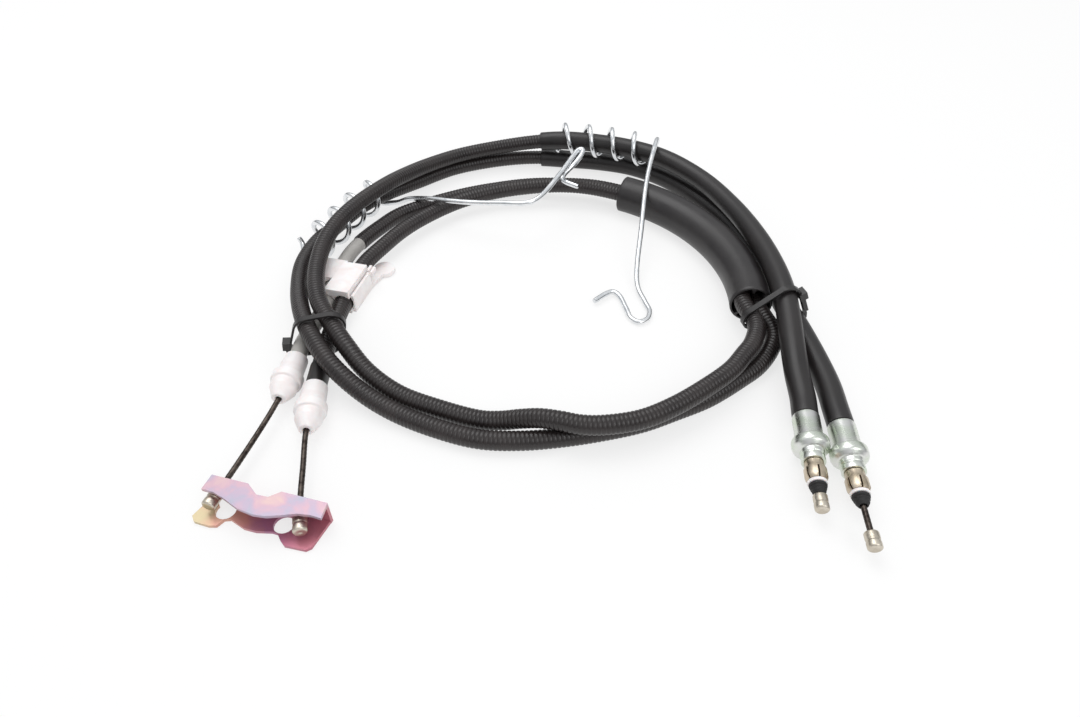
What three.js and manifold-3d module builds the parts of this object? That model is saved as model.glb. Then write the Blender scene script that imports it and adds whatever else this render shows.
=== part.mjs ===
// Parking brake cable: two ribbed Bowden cables tied into one loop as they are sold, with the
// forming guide, two hook springs, the front pull bracket and the four end fittings.
// Millimetres, +Z up. The loop lies on a flat surface at z = 0, with the front ends towards -Y.
import * as THREE from "three";
import { mergeVertices } from "three/addons/utils/BufferGeometryUtils.js";
import Module from "manifold-3d";

// Driving dimensions of the cables
const hoseRadius = 5.25; // ribbed hose, over its ribs
const hoseBore = 3.3;
const rearSleeveRadius = 6.75; // plain rubber sleeve over the rear end
const rearSleeveBore = 4.2;
const greySleeveRadius = 4.7; // plain sleeve at the front end of cable A
const blackSleeveRadius = 5.8; // plain sleeve at the front end of cable B
const frontSleeveBore = 2.9;
const wireRadius = 1.45;
const fitGap = 0.3; // between pieces that touch
const wireGap = 0.45; // round a wire that slides in its bore

// Driving dimensions of the end fittings, measured along their own axes
const collarRadius = 7.2;
const flangeRadius = 8.6;
const ferruleRadius = 7.3;
const ferruleNoseRadius = 3.9;
const ferruleLength = 31;
const ferruleSocketDepth = 9;
const barrelRadius = 7;
const barrelLength = 16;
const domeRadius = 9.3;
const domeLength = 7.5;
const noseRadius = 5.9;
const noseLength = 6.5;
const barrelSocketDepth = 8;
const colletRadius = 5.5;
const colletLength = 11;
const colletSlots = 6;
const sealRadius = 4.7;
const sealLength = 1.6;
const bootRadius = 4.3;
const bootTipRadius = 2.5;
const bootLength = 5.6;
const nippleRadius = 3.45;
const nippleLength = 8.6;
const wireTravelLength = 14; // how far a rear wire can be drawn out of its boot

// Driving dimensions of the forming guide
const guideRadius = 12.5;
const guideWall = 1.2;
const guideRib = 1.6;
const guideRibDepth = 2.6;
const guideLowRib = 0.4; // the ribs that face a hose
const guideCentre = [1, -24];
const guideBend = 127.3; // radius of its centre line
const guideStart = 62;
const guideEnd = -7;
const guideSideways = 4.95; // half the spread of the two hoses inside it
const guideLow = 10.2;
const guideHigh = 14.8;

// Driving dimensions of the hook springs
const springWire = 1.75;
const coilRadius = 10.5;
const topCoilTurns = 4.5;
const topCoilPitch = 17.5;
const leftCoilTurns = 4.15;
const leftCoilPitch = 19;
const leftCoilStartAngle = 127;

// Driving dimensions of the pull bracket
const bracketHeight = 14;
const bracketSheet = 1.8;
const bracketCentre = [-127, -178];
const bracketTurn = -15.5;
const keyholeRadius = 5;
const keySlot = 4.4;
const webSlotHeight = 10;

// Driving dimensions of the clip and the two ties
const clipWall = 1.8;
const clipTurn = -14;
const clipCentre = [-126, -9];
const clipShortLength = 19;
const clipLongLength = 29;
const clipShortWidth = 15;
const clipLongWidth = 15.5;
const clipShortHeight = 15;
const clipLongHeight = 16.4;
const clipClearance = 0.8;
const clipSide = clipLongWidth - 1; // where the long block's right side lies
const clipProngs = [
  [clipSide + 0.1, 10],
  [clipSide + 2.9, 9],
];
const earPlace = [clipSide + 3, 24];
const clipEarRoot = [clipSide - 1.1, 4];
const earNeckWidth = 6;
const earRadius = 7;
const earThickness = 3;
const tieThickness = 1.2;
const tieWidth = 3.6;
const tieGap = 0.95;
const tieSpread = 0.35; // extra room where a cable passes a tie at a slant
const tieHead = [5.2, 4.6, 6];

// Where the loop lies against the part's own origin
const loopShift = [0.7, 23.3, 0];

// Turns an angle in degrees into radians
const turn = THREE.MathUtils.degToRad;

// One point of the guide's centre arc, moved outwards by a distance, at a height
function guidePoint(angle, outwards, height) {
  const reach = guideBend + outwards;
  return [
    guideCentre[0] + reach * Math.cos(turn(angle)),
    guideCentre[1] + reach * Math.sin(turn(angle)),
    height,
  ];
}

// The points of a hose where it runs inside the guide
function insideGuide(outwards, height) {
  const angles = [60, 49, 38, 27, 16, 5];
  return angles.map((angle) => guidePoint(angle, outwards, height));
}

// Cable A from its front nipple to its rear nipple, through the outer side of the guide
const routeA = [
  [-155.7, -181.5, 7],
  [-151, -165, 7.5],
  [-145.5, -143, 8],
  [-141, -123, 8.7],
  [-138.7, -107, 8.8],
  [-137.7, -90, 8.8],
  [-137.2, -80, 8.8],
  [-137.1, -70, 8.4],
  [-136.2, -59, 7.3],
  [-134.2, -48, 7],
  [-132.2, -35, 7],
  [-131.4, -20, 7.3],
  [-131.2, -9, 7.6],
  [-129.6, 5, 7.8],
  [-127, 21, 7.2],
  [-122, 37, 6.1],
  [-113, 54, 5.6],
  [-100, 72, 5.5],
  [-60, 96, 5.8],
  [-34, 104, 6.8],
  [-8, 107.5, 8.3],
  [19, 105.5, 9.8],
  [41.9, 101.8, 10.2],
  ...insideGuide(guideSideways, guideLow),
  [133.2, -20, 10.2],
  [132.9, -32, 10.2],
  [132.7, -41, 10.1],
  [134.4, -49, 9.8],
  [136.6, -57, 9],
  [136.6, -64.5, 8],
  [133.8, -71, 6.7],
  [128.5, -79, 5.6],
  [121.5, -87, 5.4],
  [113, -94, 5.4],
  [91, -110, 5.4],
  [71, -120, 5.4],
  [53, -128, 5.4],
  [31, -134, 5.4],
  [10, -138, 5.4],
  [-10, -140, 5.4],
  [-31, -139, 5.4],
  [-53, -132, 5.4],
  [-77, -121, 6.3],
  [-96, -110, 10.4],
  [-113, -97, 17.4],
  [-127, -78, 20],
  [-140, -52, 17.2],
  [-150, -21, 12.4],
  [-154, 6, 10.6],
  [-150, 29, 10.9],
  [-142, 46, 10.9],
  [-134.5, 62, 10.9],
  [-126, 77, 10.9],
  [-114, 93, 9.5],
  [-93, 116, 6.6],
  [-67, 138, 5.7],
  [-32, 150, 6.4],
  [-4, 153, 7],
  [23, 150, 7],
  [48, 146, 7],
  [72, 138, 7],
  [96, 120, 7],
  [116, 93, 7],
  [134, 57, 7],
  [142.5, 18, 7],
  [147.6, -15, 8.2],
  [150, -40, 9.3],
  [153, -62, 9.2],
  [155.5, -85, 8.8],
  [156.3, -105, 9],
  [155.2, -122, 9.3],
  [154.4, -135, 9.5],
  [151.8, -168, 9.5],
  [148.5, -203, 9.5],
];

// Cable B from its front nipple to its rear nipple, through the inner side of the guide
const routeB = [
  [-109, -195.5, 7],
  [-111, -187, 7],
  [-113.5, -175.1, 7.4],
  [-116.2, -158, 8],
  [-119.3, -139, 8.8],
  [-120.7, -122.5, 8.8],
  [-121.6, -108.2, 8.8],
  [-122.3, -95, 7.9],
  [-122.9, -80, 7.6],
  [-122.9, -64, 7.9],
  [-122.1, -44, 7.5],
  [-120.4, -23, 7.2],
  [-118.3, -7, 7.8],
  [-114.5, 9, 8.4],
  [-106, 25, 9.5],
  [-94, 46, 9.8],
  [-78, 65, 9.9],
  [-57, 82, 10.5],
  [-32, 92, 12],
  [-6, 95.5, 14],
  [17, 96.2, 14.8],
  [37.8, 92.7, 14.8],
  ...insideGuide(-guideSideways, guideHigh),
  [123.2, -20, 14.9],
  [122.4, -32, 14.9],
  [122.2, -41, 14.9],
  [124, -50, 15],
  [125.6, -57, 15],
  [125.2, -64, 15],
  [122.4, -72, 15.2],
  [118.6, -79.5, 15.6],
  [113.5, -86.5, 16.1],
  [104, -99, 16.6],
  [89, -112, 16.6],
  [69, -126, 16.2],
  [51, -135, 16.1],
  [31, -139, 16.4],
  [20, -138.6, 16.4],
  [10, -136, 16.3],
  [0, -132.8, 14.6],
  [-10, -130, 11],
  [-20, -128, 7.4],
  [-31, -126, 5.7],
  [-54, -118, 5.5],
  [-77, -108, 6.8],
  [-95, -96, 12],
  [-107.4, -83, 18.4],
  [-120, -64.5, 20.6],
  [-131.4, -44, 20.9],
  [-138, -18, 21.6],
  [-138.6, 10, 23.6],
  [-134, 31, 25.4],
  [-125, 52.5, 25.9],
  [-110, 80, 24.6],
  [-98, 102, 21],
  [-84, 121, 18],
  [-62, 138.5, 16.8],
  [-31, 149, 18.2],
  [-4, 150, 21.8],
  [19, 145, 25.6],
  [46, 140, 25.6],
  [70, 132, 25.2],
  [93, 118, 24.5],
  [116, 91, 23],
  [132, 53, 23],
  [140.6, 12, 24.6],
  [143.6, -21, 25.3],
  [143.4, -46, 25],
  [142, -66, 21.8],
  [140.6, -84, 17.4],
  [139.9, -100, 13],
  [139.8, -114, 10.2],
  [138.1, -126, 9.5],
  [133.8, -160, 9.5],
  [128.8, -199, 9.5],
];

// Places along the cables, as a point near each
const greySleeveEnd = [-123, 34, 6.3];
const blackSleeveEnd = [-122.8, -88, 7.5];
const rearSleeveStartA = [1, 152, 7];
const rearSleeveStartB = [1, 149.5, 21];
const frontBarrelA = [-137.3, -83, 8.8];
const frontBarrelB = [-121.8, -105, 8.5];
const rearBarrelA = [153.7, -134, 9.5];
const rearBarrelB = [138.7, -128, 9.5];
const topCoilStart = [12, 147, 24.6];
const topCoilLift = 1.3; // how far the coil's axis lies above the sleeve inside it
const leftCoilLine = [
  [-151, 21.7, 12.4],
  [-140.6, 46, 12.4],
  [-128, 76, 12.4],
  [-117.6, 91, 12.4],
  [-109.5, 99, 12.4],
];
const leftTie = [-130, -69, 14];
const leftTieTurn = 11;
const rightTie = [138, -51, 14];
const rightTieTurn = 15;
const tieReach = 34;
const leftTieHead = { at: [-15.6, -4], turned: 82 };
const leftTieTail = [
  [-16.6, -5],
  [-16, -11],
];
const rightTieHead = { at: [15.2, 12.8], turned: -65 };
const rightTieTail = [
  [16.4, 11],
  [21.5, 0.5],
];

// The spring arms beyond their coils
const topSpringArm = [
  [76, 82, 28],
  [69, 40, 17.5],
  [62.5, -8.8, 4],
  [66, -24, 2.2],
  [68, -33, 1.9],
  [65.5, -40.5, 1.9],
  [60.5, -43.2, 1.9],
  [56, -39.5, 1.9],
  [53.6, -30, 2],
  [50, -17.5, 2.4],
  [46.6, -14.6, 2.8],
  [42.5, -16.5, 3],
  [33.9, -24.3, 3],
];
const leftSpringTail = [
  [-162.3, 30.3, 13.6],
  [-160.4, 29.2, 9.8],
];
const leftSpringArm = [
  [-111.4, 92.4, 2.4],
  [-105, 90.8, 4],
  [-97, 87.5, 8.6],
  [-86, 79.5, 14],
  [-76, 71.5, 18.4],
  [-62, 63.5, 21.6],
  [-46, 57.5, 24],
  [-27, 51.4, 27.4],
  [-9, 47.2, 30],
  [-2, 50.5, 31],
  [14, 76.8, 35],
  [24.3, 97.5, 38.5],
  [28, 102.8, 39.8],
  [30.4, 103, 40],
  [30.6, 100.2, 39.2],
  [25.5, 91.5, 36],
  [16.8, 83.2, 30.6],
  [16, 80.2, 29],
  [18.2, 77.6, 28.4],
  [26.8, 72, 27.8],
];

// The pull bracket in its own plan: its far edge, and its two near edges from right to left
const bracketFarEdge = [
  [-30.5, 2],
  [-11, 2],
  [-4, -2.6],
  [2, -2.3],
  [6.5, 2],
  [30, 2],
];
const bracketTopEdge = [
  [31, -6.4],
  [26, -6.1],
  [19.5, -7],
  [12.7, -9.8],
  [6.3, -12.1],
  [0, -12.8],
  [-9, -11.6],
  [-17, -8.7],
  [-24, -6.7],
  [-30.5, -6.6],
];
const bracketBottomEdge = [
  [28, -14.8],
  [26, -16.8],
  [15.5, -17.3],
  [12, -15],
  [9.3, -12.4],
  [6.2, -12.3],
  [-1, -14],
  [-7.4, -14],
  [-16, -11.3],
  [-18.8, -12.3],
  [-20.5, -16.3],
  [-24, -17.3],
  [-32, -17],
  [-34.5, -14.5],
];
const keyholes = [
  { hole: [-20.8, -7.6], slot: [-25.5, -2.9], web: -26 },
  { hole: [9.8, -7.2], slot: [13.8, -2.4], web: 15.3 },
];

// Loads the solid modelling library that joins and cuts
const wasm = await Module();
wasm.setup();

// One point as a vector
const vector = ([x, y, z]) => new THREE.Vector3(x, y, z);

// A smooth curve through a list of points
function smooth(points) {
  const curve = new THREE.CatmullRomCurve3(points.map(vector), false, "centripetal");
  curve.arcLengthDivisions = points.length * 40;
  return curve;
}

// The length along a curve, from its start to the place nearest a point
function lengthNear(curve, point) {
  const total = curve.getLength();
  const target = vector(point);
  let best = 0;
  let nearest = Infinity;
  for (let length = 0; length <= total; length += 0.5) {
    const distance = curve.getPointAt(length / total).distanceTo(target);
    if (distance < nearest) {
      nearest = distance;
      best = length;
    }
  }
  return best;
}

// Stations along a curve: a step is short where the curve bends
function stationsBetween(curve, from, to, longest, sharpest) {
  const total = curve.getLength();
  const fine = 0.5;
  const stations = [from];
  let bend = 0;
  let last = curve.getTangentAt(from / total);
  for (let length = from + fine; length < to; length += fine) {
    const tangent = curve.getTangentAt(Math.min(length / total, 1));
    bend += tangent.angleTo(last);
    last = tangent;
    const step = length - stations[stations.length - 1];
    if (step >= longest || bend >= sharpest) {
      stations.push(length);
      bend = 0;
    }
  }
  if (to - stations[stations.length - 1] < 2 && stations.length > 1) stations.pop();
  stations.push(to);
  return stations;
}

// A stretch of a longer curve that steps from station to station
class Stretch extends THREE.Curve {
  constructor(curve, stations) {
    super();
    this.curve = curve;
    this.stations = stations;
    this.total = curve.getLength();
  }

  place(u) {
    const steps = this.stations.length - 1;
    const at = Math.min(Math.floor(u * steps + 1e-9), steps - 1);
    const share = u * steps - at;
    const length = this.stations[at] * (1 - share) + this.stations[at + 1] * share;
    return Math.min(Math.max(length / this.total, 0), 1);
  }

  getPointAt(u, target) {
    return this.curve.getPointAt(this.place(u), target);
  }

  getTangentAt(u, target) {
    return this.curve.getTangentAt(this.place(u), target);
  }

  getPoint(u, target) {
    return this.getPointAt(u, target);
  }

  getSpacedPoints(divisions) {
    return Array.from({ length: divisions + 1 }, (_, i) => this.getPointAt(i / divisions));
  }
}

// A regular polygon as a shape or as a hole, with a flat side down
function polygon(Kind, radius, sides) {
  const outline = new Kind();
  for (let i = 0; i < sides; i += 1) {
    const angle = (2 * Math.PI * (i + 0.5)) / sides;
    const x = radius * Math.cos(angle);
    const y = radius * Math.sin(angle);
    if (i === 0) outline.moveTo(x, y);
    else outline.lineTo(x, y);
  }
  outline.closePath();
  return outline;
}

// A tube or rod along a curve, solid where its bore is zero
function sweep(curve, stations, radius, sides, bore = 0, boreSides = 6) {
  const section = polygon(THREE.Shape, radius, sides);
  if (bore > 0) section.holes.push(polygon(THREE.Path, bore, boreSides));
  return new THREE.ExtrudeGeometry(section, {
    steps: stations.length - 1,
    extrudePath: new Stretch(curve, stations),
    curveSegments: 1,
  });
}

// A turned piece from pairs of radius and height, closed on itself where it has a bore
function turned(pairs, sides) {
  const points = pairs.map(([radius, height]) => new THREE.Vector2(radius, height));
  return new THREE.LatheGeometry(points, sides);
}

// A flat plate from an outline, raised from z = 0 to its thickness
function plate(outline, thickness) {
  return new THREE.ExtrudeGeometry(outline, {
    depth: thickness,
    bevelEnabled: false,
    curveSegments: 8,
  });
}

// A shape through a list of corner points
function outlineOf(points) {
  return new THREE.Shape(points.map(([x, y]) => new THREE.Vector2(x, y)));
}

// A geometry as a solid that can be joined and cut
function solid(geometry) {
  const bare = geometry.clone();
  bare.deleteAttribute("normal");
  bare.deleteAttribute("uv");
  const merged = mergeVertices(bare, 1e-4);
  const mesh = new wasm.Mesh({
    numProp: 3,
    vertProperties: new Float32Array(merged.attributes.position.array),
    triVerts: new Uint32Array(merged.index.array),
  });
  return new wasm.Manifold(mesh);
}

// A solid as a geometry again
function geometryOf(manifold) {
  const mesh = manifold.getMesh();
  const geometry = new THREE.BufferGeometry();
  const positions = new THREE.BufferAttribute(mesh.vertProperties, mesh.numProp);
  geometry.setAttribute("position", positions);
  geometry.setIndex(new THREE.BufferAttribute(mesh.triVerts, 1));
  geometry.computeVertexNormals();
  return geometry;
}

// Materials of the pieces
const finishes = {
  hose: { color: "#2b2727", roughness: 0.55, metalness: 0 },
  rubber: { color: "#232021", roughness: 0.6, metalness: 0 },
  greyPlastic: { color: "#a09d98", roughness: 0.45, metalness: 0 },
  guidePlastic: { color: "#2a2728", roughness: 0.4, metalness: 0 },
  whitePlastic: { color: "#ece8e4", roughness: 0.4, metalness: 0 },
  wireSteel: { color: "#b3aca5", roughness: 0.35, metalness: 1 },
  zincSteel: { color: "#a9a79c", roughness: 0.35, metalness: 1 },
  springSteel: { color: "#c9ccd0", roughness: 0.25, metalness: 1 },
  yellowZinc: { color: "#cdb9a6", roughness: 0.35, metalness: 1 },
  nylon: { color: "#1d1b1b", roughness: 0.5, metalness: 0 },
};

const group = new THREE.Group();
group.position.set(...loopShift);

// Adds one named piece in one finish
function add(name, geometry, finish) {
  const piece = new THREE.Mesh(geometry, new THREE.MeshStandardMaterial(finishes[finish]));
  piece.name = name;
  group.add(piece);
  return piece;
}

// Stands a turned piece on a point, with its own height running along a direction
function stand(piece, point, direction) {
  piece.position.copy(point);
  piece.quaternion.setFromUnitVectors(new THREE.Vector3(0, 1, 0), direction);
}

// The white end ferrule of a front end, from its collar to its nose
function frontFerrule(sleeveRadius) {
  const socket = sleeveRadius + fitGap;
  const bore = wireRadius + wireGap;
  return turned(
    [
      [socket, 0],
      [collarRadius - 0.6, 0],
      [collarRadius, 13],
      [flangeRadius, 14],
      [flangeRadius, 19],
      [ferruleRadius, 19.6],
      [ferruleRadius, 24],
      [ferruleNoseRadius, ferruleLength],
      [bore, ferruleLength],
      [bore, ferruleSocketDepth],
      [socket, ferruleSocketDepth],
      [socket, 0],
    ],
    18,
  );
}

// The steel ferrule of a rear end: barrel, domed flange and nose
function rearFerrule() {
  const socket = rearSleeveBore - fitGap;
  const bore = wireRadius + wireGap;
  const domeEnd = barrelLength + domeLength;
  const length = domeEnd + noseLength;
  return turned(
    [
      [bore, 0],
      [barrelRadius - 0.5, 0],
      [barrelRadius, 0.6],
      [barrelRadius, barrelLength - 1.8],
      [barrelRadius + 0.6, barrelLength - 1.6],
      [barrelRadius + 0.6, barrelLength],
      [domeRadius, barrelLength + 1],
      [domeRadius, barrelLength + 4.4],
      [domeRadius - 1.2, domeEnd - 1.2],
      [noseRadius, domeEnd],
      [noseRadius, length],
      [bore, length],
      [bore, 0],
    ],
    20,
  );
}

// The slotted collet that grips in its mount, its fingers parted by saw cuts
function collet() {
  const bore = wireRadius + wireGap;
  const neck = 3;
  const body = solid(
    turned(
      [
        [bore, 0],
        [colletRadius - 0.7, 0],
        [colletRadius - 0.7, neck],
        [colletRadius, neck + 1.4],
        [colletRadius, colletLength - 2],
        [colletRadius - 0.9, colletLength],
        [sealRadius - 1, colletLength],
        [sealRadius - 1, neck + 1],
        [bore, neck + 1],
        [bore, 0],
      ],
      24,
    ),
  );
  let cut = body;
  for (let i = 0; i < colletSlots / 2; i += 1) {
    const saw = new THREE.BoxGeometry(0.8, colletLength - neck - 1, 2 * colletRadius + 2);
    saw.translate(0, neck + 1.6 + (colletLength - neck - 1) / 2, 0);
    saw.rotateY((2 * Math.PI * i) / colletSlots);
    cut = cut.subtract(solid(saw));
  }
  return geometryOf(cut);
}

// A plain ring seat between the collet and the boot
function sealRing() {
  const bore = wireRadius + wireGap;
  return turned(
    [
      [bore, 0],
      [sealRadius, 0],
      [sealRadius, sealLength],
      [bore, sealLength],
      [bore, 0],
    ],
    18,
  );
}

// The rubber boot that wipes the wire
function boot() {
  const bore = wireRadius + wireGap / 1.5;
  return turned(
    [
      [bore, 0],
      [bootRadius, 0],
      [bootRadius, 1.2],
      [bootRadius - 0.5, bootLength * 0.5],
      [bootTipRadius + 0.5, bootLength * 0.82],
      [bootTipRadius, bootLength],
      [bore, bootLength],
      [bore, 0],
    ],
    16,
  );
}

// A swaged nipple with the bore that the wire ends in
function nipple() {
  const bore = wireRadius + fitGap;
  const bevel = 0.6;
  return turned(
    [
      [0, 0.4],
      [0.9, 0],
      [nippleRadius - bevel, 0],
      [nippleRadius, bevel],
      [nippleRadius, nippleLength - bevel],
      [nippleRadius - bevel, nippleLength],
      [bore, nippleLength],
      [bore, nippleLength - 5],
      [0, nippleLength - 5],
    ],
    16,
  );
}

// The parts of one cable that lie along its route
function cable(letter, route, places, frontRadius, frontFinish) {
  const curve = smooth(route);
  const total = curve.getLength();
  const longest = 21;
  const sharpest = 0.2;
  const frontEnd = lengthNear(curve, places.frontBarrel);
  const sleeveEnd = lengthNear(curve, places.frontSleeveEnd);
  const rearStart = lengthNear(curve, places.rearSleeveStart);
  const rearEnd = lengthNear(curve, places.rearBarrel);
  const wireStart = nippleLength - 5 + fitGap;
  const between = (from, to) => stationsBetween(curve, from, to, longest, sharpest);
  const nose = between(wireStart, frontEnd - ferruleSocketDepth);
  const sleeve = between(frontEnd - ferruleSocketDepth + fitGap, sleeveEnd);
  const hose = between(sleeveEnd + fitGap, rearStart);
  const rear = between(rearStart + fitGap, rearEnd - fitGap);
  const wire = [...nose, ...sleeve, ...hose, ...rear].filter(
    (length, i, all) => i === 0 || length - all[i - 1] > 0.5,
  );
  add(`front_sleeve_${letter}`, sweep(curve, sleeve, frontRadius, 10, frontSleeveBore), frontFinish);
  add(`hose_${letter}`, sweep(curve, hose, hoseRadius, 8, hoseBore), "hose");
  add(`rear_sleeve_${letter}`, sweep(curve, rear, rearSleeveRadius, 10, rearSleeveBore), "rubber");
  return { letter, curve, total, frontEnd, sleeveEnd, rearStart, rearEnd, wire, frontRadius };
}

// The front end of one cable: ferrule and nipple round the start of its wire
function frontFittings(parts, sleeveRadius) {
  const { letter, curve, total, frontEnd } = parts;
  const mouth = curve.getPointAt(frontEnd / total);
  const nose = curve.getPointAt((frontEnd - ferruleLength) / total);
  const ferrule = add(`front_ferrule_${letter}`, frontFerrule(sleeveRadius), "whitePlastic");
  stand(ferrule, mouth, nose.clone().sub(mouth).normalize());
  const tip = curve.getPointAt(0);
  const inner = curve.getPointAt(nippleLength / total);
  const end = add(`front_nipple_${letter}`, nipple(), "wireSteel");
  stand(end, tip, inner.clone().sub(tip).normalize());
}

// The rear end of one cable: steel ferrule, collet, ring and boot in a row, with the sliding wire
function rearFittings(parts, drawnOut) {
  const { letter, curve, total, rearEnd } = parts;
  const start = curve.getPointAt(rearEnd / total);
  const finish = curve.getPointAt(1);
  const direction = finish.clone().sub(start).normalize();
  const at = (length) => start.clone().addScaledVector(direction, length);
  const ferruleEnd = barrelLength + domeLength + noseLength;
  const colletEnd = ferruleEnd + fitGap + colletLength;
  const ringEnd = colletEnd + fitGap + sealLength;
  const bootEnd = ringEnd + fitGap + bootLength;
  const nippleStart = bootEnd + fitGap + drawnOut;
  stand(add(`rear_ferrule_${letter}`, rearFerrule(), "zincSteel"), at(0), direction);
  stand(add(`collet_${letter}`, collet(), "zincSteel"), at(ferruleEnd + fitGap), direction);
  stand(add(`seal_ring_${letter}`, sealRing(), "whitePlastic"), at(colletEnd + fitGap), direction);
  stand(add(`boot_${letter}`, boot(), "rubber"), at(ringEnd + fitGap), direction);
  const end = add(`rear_nipple_${letter}`, nipple(), "wireSteel");
  stand(end, at(nippleStart + nippleLength), direction.clone().negate());
  const wireInside = nippleStart - wireTravelLength - 12;
  const wireEnd = nippleStart + 5 - fitGap;
  const rod = new THREE.CylinderGeometry(wireRadius, wireRadius, wireEnd - wireInside, 8);
  rod.translate(0, (wireEnd - wireInside) / 2, 0);
  stand(add(`rear_wire_${letter}`, rod, "wireSteel"), at(wireInside), direction);
  return wireInside;
}

// The long wire of one cable, which ends short of the sliding one
function mainWire(parts, wireInside) {
  const { letter, curve, rearEnd, wire } = parts;
  const stop = rearEnd + wireInside - wireTravelLength - 2;
  const stations = [...wire.filter((length) => length < stop - 3), stop];
  add(`inner_wire_${letter}`, sweep(curve, stations, wireRadius, 6), "wireSteel");
}

// The section of the forming guide: a tube with short ribs that hold the hoses apart from it
function guideSection() {
  const section = polygon(THREE.Shape, guideRadius, 18);
  const inside = new THREE.Path();
  const bore = guideRadius - guideWall;
  const half = Math.asin(guideRib / 2 / bore);
  const ribs = [
    [-135, guideLowRib],
    [-45, guideRibDepth],
    [0, guideRibDepth],
    [45, guideLowRib],
    [135, guideRibDepth],
    [180, guideRibDepth],
  ];
  const corner = (angle, radius, first) => {
    const x = radius * Math.cos(angle);
    const y = radius * Math.sin(angle);
    if (first) inside.moveTo(x, y);
    else inside.lineTo(x, y);
  };
  ribs.forEach(([degrees, depth], i) => {
    const angle = turn(degrees);
    const next = i + 1 < ribs.length ? turn(ribs[i + 1][0]) : turn(ribs[0][0] + 360);
    corner(angle - half, bore, i === 0);
    corner(angle - half, bore - depth);
    corner(angle + half, bore - depth);
    corner(angle + half, bore);
    const spans = next - angle > turn(60) ? 3 : 1;
    for (let j = 1; j <= spans; j += 1) {
      corner(angle + half + ((next - angle - 2 * half) * j) / (spans + 1), bore);
    }
  });
  inside.closePath();
  section.holes.push(inside);
  return section;
}

// The forming guide, a stiff curved tube that holds the two hoses to one bend
function guide() {
  const steps = 10;
  const points = [];
  for (let i = 0; i <= steps; i += 1) {
    points.push(guidePoint(guideStart + ((guideEnd - guideStart) * i) / steps, 0, guideRadius));
  }
  const geometry = new THREE.ExtrudeGeometry(guideSection(), {
    steps: steps + 2,
    extrudePath: smooth(points),
  });
  return geometry;
}

// A helix round an axis given as a function of a length, with the height of its turns and their sense
class Coil extends THREE.Curve {
  constructor(axis, length, turns, startAngle, sense) {
    super();
    Object.assign(this, { axis, length, turns, startAngle, sense });
  }

  getPoint(t, target = new THREE.Vector3()) {
    const { point, tangent } = this.axis(t * this.length);
    const left = new THREE.Vector3(0, 0, 1).cross(tangent).normalize();
    const up = tangent.clone().cross(left);
    const angle = turn(this.startAngle) + this.sense * 2 * Math.PI * this.turns * t;
    return target
      .copy(point)
      .addScaledVector(up, coilRadius * Math.cos(angle))
      .addScaledVector(left, coilRadius * Math.sin(angle));
  }
}

// A spring as one wire: points before its coil, the coil itself and points after it
function springWireThrough(before, coil, after) {
  const perTurn = 13;
  const wound = coil.getPoints(Math.round(coil.turns * perTurn));
  const points = [...before.map(vector), ...wound, ...after.map(vector)];
  const curve = new THREE.CatmullRomCurve3(points, false, "centripetal");
  curve.arcLengthDivisions = points.length * 20;
  const stations = stationsBetween(curve, 0, curve.getLength(), 14, turn(360 / perTurn));
  return sweep(curve, stations, springWire, 6);
}

// The spring round cable B, whose long arm ends in an open hook
function topSpring(parts) {
  const { curve, total } = parts;
  const start = lengthNear(curve, topCoilStart);
  const axis = (length) => {
    const point = curve.getPointAt((start + length) / total);
    point.z += topCoilLift;
    return { point, tangent: curve.getTangentAt((start + length) / total) };
  };
  const coil = new Coil(axis, topCoilTurns * topCoilPitch, topCoilTurns, 180, -1);
  return springWireThrough([], coil, topSpringArm);
}

// The spring round cable A, whose arm turns back in a narrow bend
function leftSpring() {
  const line = smooth(leftCoilLine);
  const total = line.getLength();
  const axis = (along) => ({
    point: line.getPointAt(along / total),
    tangent: line.getTangentAt(along / total),
  });
  const length = leftCoilTurns * leftCoilPitch;
  const coil = new Coil(axis, length, leftCoilTurns, leftCoilStartAngle, 1);
  return springWireThrough(leftSpringTail, coil, leftSpringArm);
}

// The pull bracket: a folded channel whose lower flange has a key hole for each nipple
function bracket() {
  const edge = bracketFarEdge;
  const inset = edge.map(([x, y]) => [x, y - bracketSheet]).reverse();
  const web = solid(plate(outlineOf([...edge, ...inset]), bracketHeight));
  const top = plate(outlineOf([...edge, ...bracketTopEdge]), bracketSheet);
  top.translate(0, 0, bracketHeight - bracketSheet);
  const bottom = plate(outlineOf([...edge, ...bracketBottomEdge]), bracketSheet);
  let body = web.add(solid(top)).add(solid(bottom));
  keyholes.forEach(({ hole, slot, web: webX }) => {
    const round = new THREE.CylinderGeometry(keyholeRadius, keyholeRadius, 3 * bracketSheet, 20);
    round.rotateX(Math.PI / 2);
    round.translate(hole[0], hole[1], bracketSheet / 2);
    body = body.subtract(solid(round));
    body = body.subtract(solid(slotBlock(hole, slot, bracketSheet * 3, bracketSheet / 2)));
    body = body.subtract(solid(slotBlock(slot, [webX, 4], bracketSheet * 3, bracketSheet / 2)));
    const window = new THREE.BoxGeometry(keySlot, 4 * bracketSheet, webSlotHeight + 1);
    window.translate(webX, 1, (webSlotHeight - 1) / 2);
    body = body.subtract(solid(window));
  });
  return geometryOf(body);
}

// A straight block between two points of the bracket's plan, to cut a slot
function slotBlock(from, to, height, middle, width = keySlot) {
  const length = Math.hypot(to[0] - from[0], to[1] - from[1]);
  const block = new THREE.BoxGeometry(length + width / 2, width, height);
  block.rotateZ(Math.atan2(to[1] - from[1], to[0] - from[0]));
  block.translate((from[0] + to[0]) / 2, (from[1] + to[1]) / 2, middle);
  return block;
}

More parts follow.
